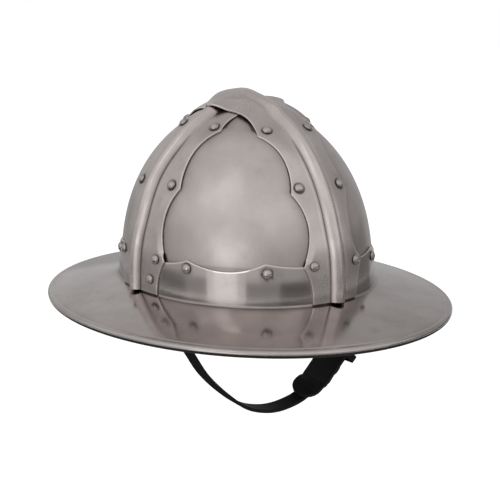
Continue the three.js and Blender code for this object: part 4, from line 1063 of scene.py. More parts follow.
def brim_outlines(angle, top):
    base = skull_point(angle, np.zeros_like(angle))
    outward = skull_normal(base)
    rim_x, rim_y = RIM_HALF_WIDTH * np.cos(angle), RIM_HALF_LENGTH * np.sin(angle)
    rim = np.stack([rim_x, rim_y, np.full_like(angle, -RIM_DROP)], -1)
    heart = base + outward * (COLLAR_GAP + SHEET + CREASE_RADIUS)
    heart[:, 2] = CREASE_RADIUS
    level = (rim - heart) * (1, 1, 0)
    reach = np.linalg.norm(level, axis=1, keepdims=True)
    fall = np.arctan2(RIM_DROP, reach)
    up_axis = np.array([0.0, 0.0, 1.0])
    along = level / reach * np.cos(fall) - up_axis * np.sin(fall)
    rising = level / reach * np.sin(fall) + up_axis * np.cos(fall)
    groove = 1 - GROOVE_SEAT * BEAD_RADIUS / reach
    rows, grime, polish = [], [], []

    def line(offset, share):
        return heart + rising * (offset - CREASE_RADIUS) + along * reach / np.cos(fall) * share

    def collar(height, offset):
        return raised(skull_point(angle, height), np.full_like(angle, offset))

    def collar_wall(share):
        return top + (CREASE_RADIUS - top) * share

    def crease(radius, share):
        turned = (QUARTER_TURN - fall) * share
        return heart - outward * radius * np.cos(turned) - up_axis * radius * np.sin(turned)

    def add(points, dirt_and_shade=0.0, rubbed=0.0):
        rows.append(points)
        grime.append(np.full(angle.shape, dirt_and_shade))
        polish.append(np.full(angle.shape, rubbed))

    # over the collar's edge and down its outside
    edge = list(zip(*round_edge(EDGE_RADIUS)))
    for inset, drop in edge:
        add(collar(top - drop, COLLAR_GAP + inset), INSIDE_DIRT_AND_SHADE)
    # the outer side of the top edge is lightened, partly as rubbed metal and partly as painted
    # highlight
    for inset, drop in edge[::-1]:
        add(collar(top - drop, COLLAR_GAP + SHEET - inset), rubbed=1.0)
    for share in WALL_SHARES:
        dirt_and_shade = COLLAR_FOOT_DIRT_AND_SHADE * math.exp(-(1 - share) * COLLAR_FOOT_RATE)
        add(collar(collar_wall(share), COLLAR_GAP + SHEET), dirt_and_shade)
    # round the crease and out along the brim, darker at both ends, partly as dirt and partly as
    # painted shade
    for share in np.linspace(0, 1, 9):
        add(crease(CREASE_RADIUS, share), CREASE_DIRT_AND_SHADE)
    for share in BRIM_SHARES:
        foot = BRIM_FOOT_DIRT_AND_SHADE * math.exp(-share * BRIM_FOOT_RATE)
        add(line(0.0, share * groove), foot + GROOVE_DIRT_AND_SHADE * math.exp(-(1 - share) * GROOVE_RATE))
    # down into the groove and round the rolled rim
    for depth, shift in GROOVE_STEPS:
        add(line(-GROOVE * depth, groove - GROOVE * shift / reach), INSIDE_DIRT_AND_SHADE * depth)
    # the rolled rim's underside is darker than its top: painted shade
    for share in np.linspace(BEAD_FIRST, BEAD_LAST, 26):
        bend = along * math.cos(share * math.pi) + rising * math.sin(share * math.pi)
        dirt_and_shade = BEAD_DIRT_AND_SHADE if share > BEAD_UNDER else BEAD_UNDER_SHADE
        add(line(-BEAD_RADIUS, 1.0) + bend * BEAD_RADIUS, dirt_and_shade)
    # back underneath, darkened as painted shade, and up the inside, darkened partly as dirt and
    # partly as painted shade
    for share in UNDERSIDE_SHARES:
        add(line(-SHEET, groove * share), UNDER_SHADE)
    for share in np.linspace(1, 0, 7):
        add(crease(CREASE_RADIUS + SHEET, share), UNDER_SHADE)
    for share in INNER_WALL_SHARES:
        add(collar(collar_wall(share), COLLAR_GAP), INSIDE_DIRT_AND_SHADE)
    return [np.stack(values, axis=1) for values in (rows, grime, polish)]


outlines, brim_dirt_and_shade, brim_polish_and_highlight = brim_outlines(brim_angles, collar_tops)
brim_dirt_and_shade = np.maximum(brim_dirt_and_shade, rivet_dirt_and_shadow(outlines))
print("brim:", outlines.shape[0], "outlines of", outlines.shape[1], "points")

# %% [markdown]
# ## Brim
# The outlines are lofted round the hat and the last one joins the first, so the brim is one
# closed sheet, as it is on the real hat.

# %% Brim
brim = make_loft("brim_sheet", outlines, brim_steel, brim_dirt_and_shade, joined=True, polish=brim_polish_and_highlight)
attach(brim, "hat")
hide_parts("brim")
print("brim spans", np.ptp(outlines.reshape(-1, 3), axis=0).round(1))

# %% [markdown]
# ## Rivets
# A rivet is a domed head, a shank and a peened tail. The tree makes each part once and instances
# it on the rivets' points. `direction` turns an instance, and `grip`, the thickness that the
# rivet holds, stretches the shank and moves the tail. Thirty-four separate meshes would look the
# same, but one tree lets every head be changed at once.

# %% Rivet tree
def rivet_tree():
    graph, sizes = new_tree("rivets", {
        "Head radius": 0.004, "Head height": 0.0027, "Shank radius": 0.0019,
        "Tail radius": 0.0028, "Tail height": 0.0011, "Finish": None,
    })
    points = sizes["Geometry"]
    direction = named(graph, "direction", "FLOAT_VECTOR")
    grip = named(graph, "grip")
    turned = facing(graph, direction)
    ball = {"Segments": 28, "Rings": 18, "Radius": 1.0}
    ball = graph.node("GeometryNodeMeshUVSphere", values=ball)
    x, y, z = graph.position()
    half_ball = {"Geometry": ball, "Position": graph.vector(x, y, z.math("MAXIMUM", z, 0.0))}
    dome = graph.node("GeometryNodeSetPosition", values=half_ball)
    rod = {"Vertices": 20, "Radius": 1.0, "Depth": 1.0}
    rod = graph.node("GeometryNodeMeshCylinder", values=rod)
    rod = {"Geometry": rod, "Translation": (0, 0, -0.5)}
    rod = graph.node("GeometryNodeTransform", values=rod)

    def scale(radius, height):
        return graph.vector(radius, radius, height)

    def scaled(vector, factor):
        values = {0: vector, "Scale": factor}
        return graph.node("ShaderNodeVectorMath", {"operation": "SCALE"}, values)

    def copies(where, shape, size, rotation):
        values = {"Points": where, "Instance": shape, "Rotation": rotation, "Scale": size}
        return graph.node("GeometryNodeInstanceOnPoints", values=values)

    heads = copies(points, dome, scale(sizes["Head radius"], sizes["Head height"]), turned)
    shanks = copies(points, rod, scale(sizes["Shank radius"], grip), turned)
    behind = {"Geometry": points, "Offset": scaled(direction, grip * -1.0)}
    tail_points = graph.node("GeometryNodeSetPosition", values=behind)
    away = facing(graph, scaled(direction, -1.0))
    tails = copies(tail_points, dome, scale(sizes["Tail radius"], sizes["Tail height"]), away)
    joined = graph.tree.nodes.new("GeometryNodeJoinGeometry")
    for part in (heads, shanks, tails):
        graph.tree.links.new(part.socket, joined.inputs[0])
    return end_tree(graph, Value(graph, joined.outputs[0]), sizes["Finish"])


rivets_tree = rivet_tree()
print("rivet tree:", len(rivets_tree.nodes), "nodes")

# %% [markdown]
# ## The strap's rivets
# Two more rivets carry the chin strap. They pass through band, collar, plate, liner and strap,
# and a washer spreads each tail on the leather.

# %% The strap's rivets
STRAP_LEATHER = 3.0
STRAP_CLEARANCE = 1.6
WASHER_STAND_OFF, WASHER_THICKNESS = 1.2, 1.0
STRAP_ENDS = ("right", "left")
strap_directions = [skull_normal(point) for point in strap_rivet_points]
liner_inside = SHEET + GAP + LEATHER
strap_plane = strap_rivet_points[1][0] - liner_inside - STRAP_CLEARANCE - STRAP_LEATHER / 2
washer_centres = []
for side, point, direction in zip(STRAP_ENDS, strap_rivet_points, strap_directions):
    depth = (abs(point[0]) - strap_plane) / abs(direction[0])
    washer_front = -depth - STRAP_LEATHER / 2 - WASHER_STAND_OFF
    seat = float(stand_off("cross", point[None])[0]) + SHEET + GAP
    keep_rivet("strap_rivet_" + side, point, seat, washer_front - WASHER_THICKNESS - GAP)
    washer_centres.append(point + direction * (washer_front - WASHER_THICKNESS / 2))
left_point, left_direction = strap_rivet_points[1], strap_directions[1]
strap_pivot = left_point - left_direction * (left_point[0] - strap_plane) / left_direction[0]
print("strap pivot", strap_pivot.round(3))

# %% [markdown]
# ## Rivets in place
# All rivets are one grown mesh. How far a point stands above its seat says what it looks like:
# darker at the foot of the head, partly as dirt and partly as painted shade, and lighter on top,
# partly as rubbed metal and partly as a painted highlight.

# %% Rivets in place
HEAD_DIRT_AND_SHADE, HEAD_DIRT_AND_SHADE_REACH = 0.9, 0.45
HEAD_POLISH_AND_HIGHLIGHT, HEAD_POLISH_AND_HIGHLIGHT_START, HEAD_POLISH_AND_HIGHLIGHT_RUN = 0.3, 1.8, 0.9
rivet_directions = skull_normal(np.array(rivet_places))
head_points = np.array(rivet_places) + rivet_directions * np.array(rivet_seats)[:, None]
grips = (np.array(rivet_seats) - np.array(rivet_tails)) * MILLIMETRE
base = point_mesh("rivet_points", head_points, direction=rivet_directions, grip=grips)
rivets = grow("rivets", base, rivets_tree, {"Finish": rivet_steel})
smooth(rivets.data)
rivets.data.set_sharp_from_angle(angle=math.radians(50))
rivet_points = points_of(rivets.data)
nearest = np.linalg.norm(rivet_points[:, None] - head_points[None], axis=-1).argmin(axis=1)
from_seat = rivet_points - head_points[nearest]
above_seat = np.einsum("ij,ij->i", from_seat, rivet_directions[nearest])
# Dark at the foot of each head, partly dirt and partly painted shade; light on top, partly rubbed
# metal and partly painted highlight.
head_dirt_and_shade = HEAD_DIRT_AND_SHADE * np.exp(-np.maximum(above_seat, 0) / HEAD_DIRT_AND_SHADE_REACH)
head_polish_and_highlight = HEAD_POLISH_AND_HIGHLIGHT * ease((above_seat - HEAD_POLISH_AND_HIGHLIGHT_START) / HEAD_POLISH_AND_HIGHLIGHT_RUN)
store(rivets.data, "grime", head_dirt_and_shade)
store(rivets.data, "polish", head_polish_and_highlight)
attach(rivets, "hat")
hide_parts(*rivet_nodes)
print("rivets:", len(rivet_nodes), "with", len(rivets.data.polygons), "faces")

# %% [markdown]
# ## Washers
# A washer is a flat steel ring with eased outer corners. Its section is turned round the rivet's
# line: a plain cylinder with a hole would do, but the eased corners catch the light.

# %% Washers
RING_SECTION = ((2.3, -0.5), (4.1, -0.5), (4.4, -0.3), (4.4, 0.25), (4.05, 0.5), (2.3, 0.5))
for side, centre, direction in zip(STRAP_ENDS, washer_centres, strap_directions):
    node = "strap_washer_" + side
    turned = np.array(Vector(direction).to_track_quat("Z", "Y").to_matrix())
    loops = []
    for angle in circle(40):
        way = math.cos(angle), math.sin(angle)
        loop = [(radius * way[0], radius * way[1], z) for radius, z in RING_SECTION]
        loops.append(np.array(loop) @ turned.T + centre)
    washer = make_loft(node + "_ring", np.array(loops), rivet_steel, joined=True, sharp=35)
    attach(washer, "hat")
    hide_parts(node)
print("washers at", np.round(washer_centres, 1).tolist())

# %% [markdown]
# ## Liner band
# A ring of thick leather lies behind the foot of the plates and carries the lobes. Its edges are
# turned and rubbed smooth. It is a loft whose rows go round the head.

# %% Liner band
LINER_FOOT_HEIGHT = 6.0
LINER_STATIONS = 144
LINER_EDGE, LINER_WEAR_REACH = 0.8, 1.2
heights = np.linspace(LINER_FOOT_HEIGHT, LINER_TOP_HEIGHT, 14)[None]
heights = np.repeat(heights, LINER_STATIONS, axis=0)
section_heights, section_depths = round_section(heights, LEATHER, LINER_EDGE)
stations = circle(LINER_STATIONS)[:, None]
offsets = section_depths[None] - SHEET - GAP - LEATHER + 0 * stations
rows = raised(skull_point(stations, section_heights), offsets)
liner_wear = edge_nearness(section_heights, LINER_WEAR_REACH)
liner = make_loft("liner_ring", rows, liner_leather, liner_wear, joined=True)
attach(liner, "hat")
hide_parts("liner_band")
print("liner ring:", rows.shape)

# %% [markdown]
# ## Lobes
# Six lobes of thinner leather are sewn inside the ring and drawn together over the head. Each is
# widest at its foot and narrows to a rounded tip. A point of a lobe lies on a dome; the share says
# how far up it is, and the depth how far through the leather.

# %% Where a lobe lies
LOBE_COUNT = 6
LOBE_LEATHER = 1.6
LOBE_FOOT_HEIGHT = 37.0
LOBE_CROWN_HEIGHT = 0.748 * SKULL_HEIGHT
LOBE_CROWN_RADIUS = 24.0
LOBE_BASE_GAP, LOBE_TIP_HALF_WIDTH, LOBE_WAIST, LOBE_SEWN = 3.0, 10.5, 0.5, 0.12
LOBE_TIP_START, LOBE_TIP_RUN, LOBE_TIP_LEAST = 0.93, 0.0875, 0.05
LOBE_EDGE, LOBE_WEAR_REACH, LOBE_TIP_WEAR_RATE = 0.6, 1.5, 60
LOBE_STAND_OFF = -SHEET - GAP - LEATHER - 0.6
LOBE_TURN_END = math.acos(LOBE_CROWN_RADIUS / SKULL_HALF_WIDTH)
LOBE_CENTRES = FULL_TURN * (np.arange(LOBE_COUNT) + 0.5) / LOBE_COUNT


def lobe_turn(share):
    return LOBE_TURN_END * np.maximum(share - LOBE_SEWN, 0) / (1 - LOBE_SEWN)


def dome_point(angle, share, depth):
    angle, share, depth = np.broadcast_arrays(angle, share, depth)
    height = LOBE_FOOT_HEIGHT + (LINER_TOP_HEIGHT - LOBE_FOOT_HEIGHT) * share / LOBE_SEWN
    low = raised(skull_point(angle, np.minimum(height, LINER_TOP_HEIGHT)), LOBE_STAND_OFF - depth)
    turned = lobe_turn(share)
    rise = (LOBE_CROWN_HEIGHT - LINER_TOP_HEIGHT) / math.sin(LOBE_TURN_END)
    high = low * np.cos(turned)[..., None]
    high[..., 2] = LINER_TOP_HEIGHT + (rise - depth) * np.sin(turned)
    return np.where((share < LOBE_SEWN)[..., None], low, high)


def lobe_half_angle(share):
    full = math.pi / LOBE_COUNT - LOBE_BASE_GAP / SKULL_HALF_WIDTH
    radius = SKULL_HALF_WIDTH * np.cos(lobe_turn(share))
    straight = full * SKULL_HALF_WIDTH
    narrowed = straight + (LOBE_TIP_HALF_WIDTH - straight) * ease((share - LOBE_SEWN) / LOBE_WAIST)
    past_tip = np.maximum(share - LOBE_TIP_START, 0) / LOBE_TIP_RUN
    round_tip = np.sqrt(np.clip(1 - past_tip ** 2, LOBE_TIP_LEAST, 1))
    return np.minimum(narrowed, full * radius) * round_tip / radius


def share_at_radius(radius, angle):
    """The share at which a lobe's middle comes within a radius of the hat's axis."""
    low, high = np.full(np.shape(angle), LOBE_SEWN), np.ones(np.shape(angle))
    for _ in range(HALVINGS):
        middle = (low + high) / 2
        point = dome_point(angle, middle, LOBE_LEATHER / 2)
        outside = np.hypot(point[..., 0], point[..., 1]) > radius
        low, high = np.where(outside, middle, low), np.where(outside, high, middle)
    return (low + high) / 2


print("lobe half angle at foot and tip", lobe_half_angle(np.array([0.0, 0.9])).round(3))

# %% [markdown]
# ## The lobes and their slits
# Each lobe gets a slit near its tip for the lace. The slit is cut with a Boolean modifier,
# applied at once, because the lace must be seen to go through.

# %% Lobes
LACE_RING_RADIUS = 31.0
SLIT_HALVES = (5.4, 1.0, 5.0)
STEP = 1e-3


def face_outward(mesh):
    """Turns every face of a closed mesh outward, each by itself."""
    form = bmesh.new()
    form.from_mesh(mesh)
    bmesh.ops.recalc_face_normals(form, faces=form.faces)
    form.to_mesh(mesh)
    form.free()


def cut(piece, cutter):
    face_outward(piece.data)
    face_outward(cutter.data)
    modifier = piece.modifiers.new("cut", "BOOLEAN")
    modifier.operation = "DIFFERENCE"
    modifier.solver = "EXACT"
    modifier.object = cutter
    mesh = applied(piece, modifier)
    face_outward(mesh)
    piece.data = mesh
    bpy.data.objects.remove(cutter)


def box_cutter(centre, axes, halves):
    """A box about its centre, with a direction and half a length for each axis."""
    corners = [(a, b, c) for a in (-1, 1) for b in (-1, 1) for c in (-1, 1)]
    axes = np.array(axes) * np.array(halves)[:, None]
    points = np.array(corners) @ axes + centre
    faces = [(0, 1, 3, 2), (4, 6, 7, 5), (0, 4, 5, 1), (2, 3, 7, 6), (0, 2, 6, 4), (1, 5, 7, 3)]
    return make_piece("cutter", points, faces, liner_leather)


def slit_cutter(angle):
    share = share_at_radius(LACE_RING_RADIUS, np.array(angle))
    centre = dome_point(angle, share, LOBE_LEATHER / 2)
    along = unit(dome_point(angle + STEP, share, LOBE_LEATHER / 2) - centre)
    inward = unit(dome_point(angle, share + STEP, LOBE_LEATHER / 2) - centre)
    return box_cutter(centre, (along, inward, np.cross(along, inward)), SLIT_HALVES)


sewn_shares = np.linspace(0, LOBE_SEWN, 6, endpoint=False)
lobe_shares = np.concatenate([sewn_shares, np.linspace(LOBE_SEWN, 1, 46)])
for index, centre in enumerate(LOBE_CENTRES):
    half = lobe_half_angle(lobe_shares)[:, None] * SKULL_HALF_WIDTH
    across, depths = round_section(half * np.linspace(-1, 1, 22)[None], LOBE_LEATHER, LOBE_EDGE)
    angles = centre + across / SKULL_HALF_WIDTH
    rows = dome_point(angles, lobe_shares[:, None], LOBE_LEATHER - depths[None])
    tip_wear = np.exp(-(1 - lobe_shares) * LOBE_TIP_WEAR_RATE)[:, None]
    edge = np.maximum(edge_nearness(across, LOBE_WEAR_REACH), tip_wear)
    lobe = make_loft(f"lobe_{index + 1}", rows, liner_leather, edge)
    cut(lobe, slit_cutter(centre))
    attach(lobe, "hat")
    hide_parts(f"liner_lobe_{index + 1}")
print("lobes:", LOBE_COUNT, "of", len(lobe_shares), "rows")

# %% [markdown]
# ## Lace
# One lace goes in and out through the slits and draws the lobes together. It is a tube that
# follows a ring with a wave in it: a tree turns the points into a curve and sweeps a circle along
# it.

# %% Lace
LACE_RADIUS, LACE_SWING = 1.1, 3.2


def tube_tree():
    graph, sizes = new_tree("tube", {"Radius": 0.001, "Finish": None})
    path = graph.node("GeometryNodeMeshToCurve", values={"Mesh": sizes["Geometry"]})
    section = {"Resolution": 12, "Radius": sizes["Radius"]}
    section = graph.node("GeometryNodeCurvePrimitiveCircle", values=section)
    swept = {"Curve": path, "Profile Curve": section, "Fill Caps": True}
    return end_tree(graph, graph.node("GeometryNodeCurveToMesh", values=swept), sizes["Finish"])


def grow_tube(name, points, radius, finish):
    """A tube along a closed ring of points."""
    path = bpy.data.meshes.new(name + "_path")
    count = len(points)
    edges = [(k, (k + 1) % count) for k in range(count)]
    path.from_pydata((np.asarray(points) * MILLIMETRE).tolist(), edges, [])
    tube = grow(name, path, tubes_tree, {"Radius": radius * MILLIMETRE, "Finish": finish})
    turn_outward(tube.data)
    smooth(tube.data)
    return tube


tubes_tree = tube_tree()
lace_angles = circle(288)
lace_depths = LOBE_LEATHER / 2 + LACE_SWING * np.sin(LOBE_COUNT * lace_angles)
lace_points = dome_point(lace_angles, share_at_radius(LACE_RING_RADIUS, lace_angles), lace_depths)
lace = grow_tube("lace_loop", lace_points, LACE_RADIUS, lace_leather)
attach(lace, "hat")
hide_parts("liner_lace")
print("lace:", len(lace.data.polygons), "faces")

# %% [markdown]
# ## Stitches
# A stitch is a stretched little ball of thread, sunk nearly halfway into the leather. The tree
# puts one on each point, turned to the leather's normal and along the row.

# %% Stitch tree
def stitch_tree():
    graph, sizes = new_tree("stitches", {"Length": 0.003, "Thickness": 0.0008, "Finish": None})
    ball = {"Segments": 8, "Rings": 6, "Radius": 0.5}
    ball = graph.node("GeometryNodeMeshUVSphere", values=ball)
    lying = facing(graph, named(graph, "direction", "FLOAT_VECTOR"))
    turned = facing(graph, named(graph, "along", "FLOAT_VECTOR"), "X", Rotation=lying)
    size = graph.vector(sizes["Length"], sizes["Thickness"], sizes["Thickness"])
    stitches = graph.node("GeometryNodeInstanceOnPoints", values={
        "Points": sizes["Geometry"], "Instance": ball, "Rotation": turned, "Scale": size})
    return end_tree(graph, stitches, sizes["Finish"])


stitches_tree = stitch_tree()


def sew(name, points, directions, along, finish, body, length=3.0, thickness=0.8):
    base = point_mesh(name + "_points", points, direction=directions, along=along)
    sizes = {"Length": length * MILLIMETRE, "Thickness": thickness * MILLIMETRE}
    piece = grow(name, base, stitches_tree, sizes | {"Finish": finish})
    smooth(piece.data)
    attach(piece, body)
    return piece


print("stitch tree:", len(stitches_tree.nodes), "nodes")

# %% [markdown]
# ## Stitches of the liner
# Two rows of stitches sew the foot of each lobe to the ring. They lie on the lobe's inner face,
# along lines of equal share.

# %% Stitches of the liner
STITCH_PITCH = 4.6
STITCH_SHARES = (0.03, 0.095)
STITCH_INSET = 0.03
STITCH_LIFT = 0.05
rows = []
for centre in LOBE_CENTRES:
    half = float(lobe_half_angle(np.array([0.0]))[0]) - STITCH_INSET
    count = int(2 * half * SKULL_HALF_WIDTH / STITCH_PITCH)
    for share in STITCH_SHARES:
        rows.append((centre + np.linspace(-half, half, count), np.full(count, share)))
angles, shares = (np.concatenate(values) for values in zip(*rows))
seam = dome_point(angles, shares, LOBE_LEATHER + STITCH_LIFT)
ahead, behind = (dome_point(angles + turned, shares, LOBE_LEATHER) for turned in (0.01, -0.01))
seam_along, seam_out = ahead - behind, -skull_normal(seam)
sew("liner_stitches", seam, seam_out, seam_along, liner_thread, "hat")
print("liner stitches:", len(seam))

# %% [markdown]
# ## The strap's line
# The strap hangs in the plane of its two rivets. Its line is a smooth curve through points that
# were read from the photograph, given as shares of the distance to the rivets and of the drop. A
# centripetal spline passes through them without loops, and a table of its length lets us walk
# along it by distance.

# %% The strap's line
STRAP_DROP = 142.0
STRAP_SHARES = (
    (-0.985, 0.055), (-0.983, 0), (-0.965, -0.09), (-0.925, -0.2), (-0.84, -0.335),
    (-0.69, -0.493), (-0.545, -0.64), (-0.31, -0.8), (-0.1, -0.905), (0.095, -0.953),
    (0.25, -0.968), (0.4, -0.962), (0.53, -0.944), (0.64, -0.912), (0.715, -0.883),
)
RUN_SHARES = ((0.65, -0.945), (1.12, -0.64))
RUN_STATIONS = (13.5, 18.0, 26.0, 35.0, 44.0, 53.0, 62.4)
HEEL_ALONG_RUN = 35.0
RETURN_SHARES = (
    (1.155, -0.53), (1.14, -0.4), (1.09, -0.27), (1.03, -0.16), (1.004, -0.08), (1.017, 0),
    (1.017, 0.055),
)
LINE_STEPS, LINE_MARGIN, LINE_STEP = 60, 0.01, 0.4


def strap_place(shares):
    across, down = np.moveaxis(np.asarray(shares, dtype=float), -1, 0)
    return np.stack([across * strap_plane, strap_pivot[2] + down * STRAP_DROP], axis=-1)


def centripetal(points, steps):
    """Points of a centripetal spline through points, steps to each stretch."""
    points = np.vstack([2 * points[0] - points[1], points, 2 * points[-1] - points[-2]])
    share = np.linspace(0, 1, steps, endpoint=False)[:, None]
    curve = []
    for p0, p1, p2, p3 in zip(points, points[1:], points[2:], points[3:]):
        d0, d1, d2 = (np.linalg.norm(b - a) ** 0.5 for a, b in ((p0, p1), (p1, p2), (p2, p3)))
        t1 = ((p1 - p0) / d0 - (p2 - p0) / (d0 + d1) + (p2 - p1) / d1) * d1
        t2 = ((p2 - p1) / d1 - (p3 - p1) / (d1 + d2) + (p3 - p2) / d2) * d1
        square, cube = 3 * (p2 - p1) - 2 * t1 - t2, 2 * (p1 - p2) + t1 + t2
        curve.append(p1 + t1 * share + square * share ** 2 + cube * share ** 3)
    return np.vstack([*curve, points[-2]])


run_first, run_last = strap_place(RUN_SHARES)
run_way = unit(run_last - run_first)
run = run_first + run_way * np.array(RUN_STATIONS)[:, None]
strap_points = np.vstack([strap_place(STRAP_SHARES), run, strap_place(RETURN_SHARES)])
strap_curve = centripetal(strap_points, LINE_STEPS)
stretches = np.linalg.norm(np.diff(strap_curve, axis=0), axis=1)
strap_lengths = np.concatenate([[0], np.cumsum(stretches)])


def nearest_length(target):
    return float(strap_lengths[np.argmin(np.linalg.norm(strap_curve - target, axis=1))])


def strap_at(distance):
    """Points of the strap's line, in its own plane, at distances along it."""
    return np.stack([np.interp(distance, strap_lengths, part) for part in strap_curve.T], axis=-1)


def in_space(pair):
    """Turns places or directions in the strap's plane into those of the hat."""
    return np.stack([pair[..., 0], np.zeros(pair.shape[:-1]), pair[..., 1]], axis=-1)


def strap_frame(distance):
    """Point, direction and outward direction of the strap's line at distances along it."""
    distance = np.clip(distance, LINE_MARGIN, strap_lengths[-1] - LINE_MARGIN)
    along = unit(strap_at(distance + LINE_STEP) - strap_at(distance - LINE_STEP))
    outward = np.stack([along[..., 1], -along[..., 0]], axis=-1)
    point = in_space(strap_at(distance)) + np.array([0, strap_pivot[1], 0])
    return point, in_space(along), in_space(outward)


right_pivot_length = nearest_length(np.array([-strap_plane, strap_pivot[2]]))
left_pivot_length = nearest_length(np.array([strap_plane, strap_pivot[2]]))
heel_length = nearest_length(run_first + run_way * HEEL_ALONG_RUN)
print("strap line", round(float(strap_lengths[-1]), 1), "mm, heel bar at", round(heel_length, 1))

# %% [markdown]
# ## Strap
# Strap and tab are strips along the line, one above it and one below. The strap passes under the
# buckle's front bar, climbs over the heel bar, and its free end lies back on the chape. Its
# height above the line is a function of the distance past the heel bar. Below the buckle both
# turn a little about their own length, as hanging leather does.

# %% Strap
STRAP_WIDTH, STRAP_END_REACH = 15.0, 7.5
TWIST, TWIST_START, TWIST_RUN, TWIST_END, TWIST_END_RUN = math.radians(9), 150, 100, 40, 22
ROW_STEP, STRIP_COLUMNS, STRIP_EDGE, STRIP_WEAR_REACH = 1.3, 14, 0.7, 0.8
LEAST_END, TIP_HALF_SHARE = 0.15, 0.25
END_SHARES = np.array([0.01, 0.04, 0.1, 0.2, 0.33, 0.5, 0.7, 0.9])
CHAPE_LEATHER, CHAPE_WIDTH, CHAPE_LENGTH = 1.6, 13.5, 20.0
CHAPE_SLOT_HALF_WIDTH, CHAPE_SLOT_REACH = 2.1, 7.0
BUCKLE_WIRE, BUCKLE_LENGTH, BUCKLE_INNER_HALF_WIDTH, BUCKLE_CORNER = 1.5, 17.0, 8.6, 2.6
TONGUE_LENGTH, TONGUE_TIP_RUN, TONGUE_SPRING, TONGUE_SETTLE_RUN = 40.0, 12.0, 6.0, 9.0
LAYER = 0.25
heel_height = LAYER + CHAPE_LEATHER + GAP + BUCKLE_WIRE
front_height = LAYER + STRAP_LEATHER + GAP + BUCKLE_WIRE
fold_radius = BUCKLE_WIRE + GAP + CHAPE_LEATHER
over_heel = heel_height + fold_radius + GAP
on_chape = LAYER + 2 * CHAPE_LEATHER + 2 * GAP


def tongue_height(past):
    climb = (past + BUCKLE_LENGTH - BUCKLE_WIRE) / (BUCKLE_LENGTH - 2 * BUCKLE_WIRE)
    rising = LAYER + (over_heel - LAYER) * ease(climb)
    settled = over_heel + (on_chape - over_heel) * ease((past - BUCKLE_WIRE) / TONGUE_SETTLE_RUN)
    free = np.clip((past - CHAPE_LENGTH) / (TONGUE_LENGTH - CHAPE_LENGTH), 0, None)
    return np.where(past < BUCKLE_WIRE, rising, settled + TONGUE_SPRING * free ** 2)


def round_end(half, distance):
    """The half width near a half-round end."""
    inside = half - np.clip(distance, LEAST_END, half)
    return np.sqrt(half ** 2 - inside ** 2)


def twist_at(distance):
    into = ease((distance - heel_length + TWIST_START) / TWIST_RUN)
    out = ease((distance - heel_length + TWIST_END) / TWIST_END_RUN)
    return TWIST * into * (1 - out)


def strip(name, distances, halves, under):
    """A strip of strap leather along the line, with its half widths and height above the line."""
    columns = halves[:, None] * np.linspace(-1, 1, STRIP_COLUMNS)[None]
    across, height = round_section(columns, STRAP_LEATHER, STRIP_EDGE)
    point, along, outward = strap_frame(distances)
    front, turned = np.array([[0.0, -1.0, 0.0]]), twist_at(distances)[:, None]
    sideways = front * np.cos(turned) + outward * np.sin(turned)
    upward = outward * np.cos(turned) - front * np.sin(turned)
    above = (under[:, None] + height[None])[..., None] * upward[:, None]
    rows = point[:, None] + across[..., None] * sideways[:, None] + above
    return make_loft(name, rows, strap_leather, edge_nearness(across, STRIP_WEAR_REACH))


def end_rows(tip, inward, radius):
    return tip + inward * radius * END_SHARES


half = STRAP_WIDTH / 2
start, end = right_pivot_length - STRAP_END_REACH, heel_length + TONGUE_LENGTH
tip_start = end - TONGUE_TIP_RUN
body_rows, tip_rows = np.arange(start + half, tip_start, ROW_STEP), np.linspace(tip_start, end, 16)
distances = np.concatenate([end_rows(start, 1, half), body_rows, tip_rows])
left = np.clip((end - distances) / TONGUE_TIP_RUN, 0.001, 1)
pointed = half * (TIP_HALF_SHARE + (1 - TIP_HALF_SHARE) * np.sqrt(left))
tip_half = np.where(left < 1, pointed, half)
halves = np.where(distances < start + half, round_end(half, distances - start), tip_half)
strap = strip("strap", distances, halves, tongue_height(distances - heel_length))
print("strap:", round(end - start, 1), "mm long")

# %% [markdown]
# ## Tab
# The tab backs the buckle. It is cut wide, with a round end under the wearer's jaw, and tapers to
# the strap's width at its rivet. It lies right below the line, so the strap rests on it.

# %% Tab
TAB_END_WIDTH, TAB_END_REACH, TAB_WIDTH = 34.0, 44.0, 35.0
TAB_WIDEN_RUN, TAB_TAPER_REACH, TAB_TAPER_RUN = 30.0, 26.0, 42.0
widest, wide, narrow = TAB_END_WIDTH / 2, TAB_WIDTH / 2, STRAP_WIDTH / 2
start, end = heel_length - TAB_END_REACH, left_pivot_length + STRAP_END_REACH
body_rows = np.arange(start + widest, end - narrow, ROW_STEP)
first_end, last_end = end_rows(start, 1, widest), end_rows(end, -1, narrow)[::-1]
distances = np.concatenate([first_end, body_rows, last_end])
halves = widest + (wide - widest) * ease((distances - start - widest) / TAB_WIDEN_RUN)
past_taper = distances - heel_length - TAB_TAPER_REACH
halves = halves + (narrow - wide) * ease(past_taper / TAB_TAPER_RUN)
halves = np.where(distances < start + widest, round_end(widest, distances - start), halves)
halves = np.where(distances > end - narrow, round_end(narrow, end - distances), halves)
tab = strip("tab", distances, halves, np.full(len(distances), -LAYER - STRAP_LEATHER))
face_outward(tab.data)
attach(tab, "strap")
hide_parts("buckle_tab")
print("tab:", round(end - start, 1), "mm long")

# %% [markdown]
# ## Buckle's own frame
# The buckle's pieces are drawn flat, as on a bench: +X along the strap towards the left-hand
# rivet, +Z away from the head, with the origin on the strap's line under the heel bar. Two
# matrices carry them to the hat: one for the leather, and one that also leans with the frame.

# %% Buckle's own frame
heel_point, heel_along, heel_outward = (value[0] for value in strap_frame(np.array([heel_length])))
buckle_turn = np.array([heel_along, [0.0, -1.0, 0.0], heel_outward])
lean = math.atan2(front_height - heel_height, BUCKLE_LENGTH)
lean_turn = np.array([
    [math.cos(lean), 0, -math.sin(lean)],
    [0, 1, 0],
    [math.sin(lean), 0, math.cos(lean)],
])


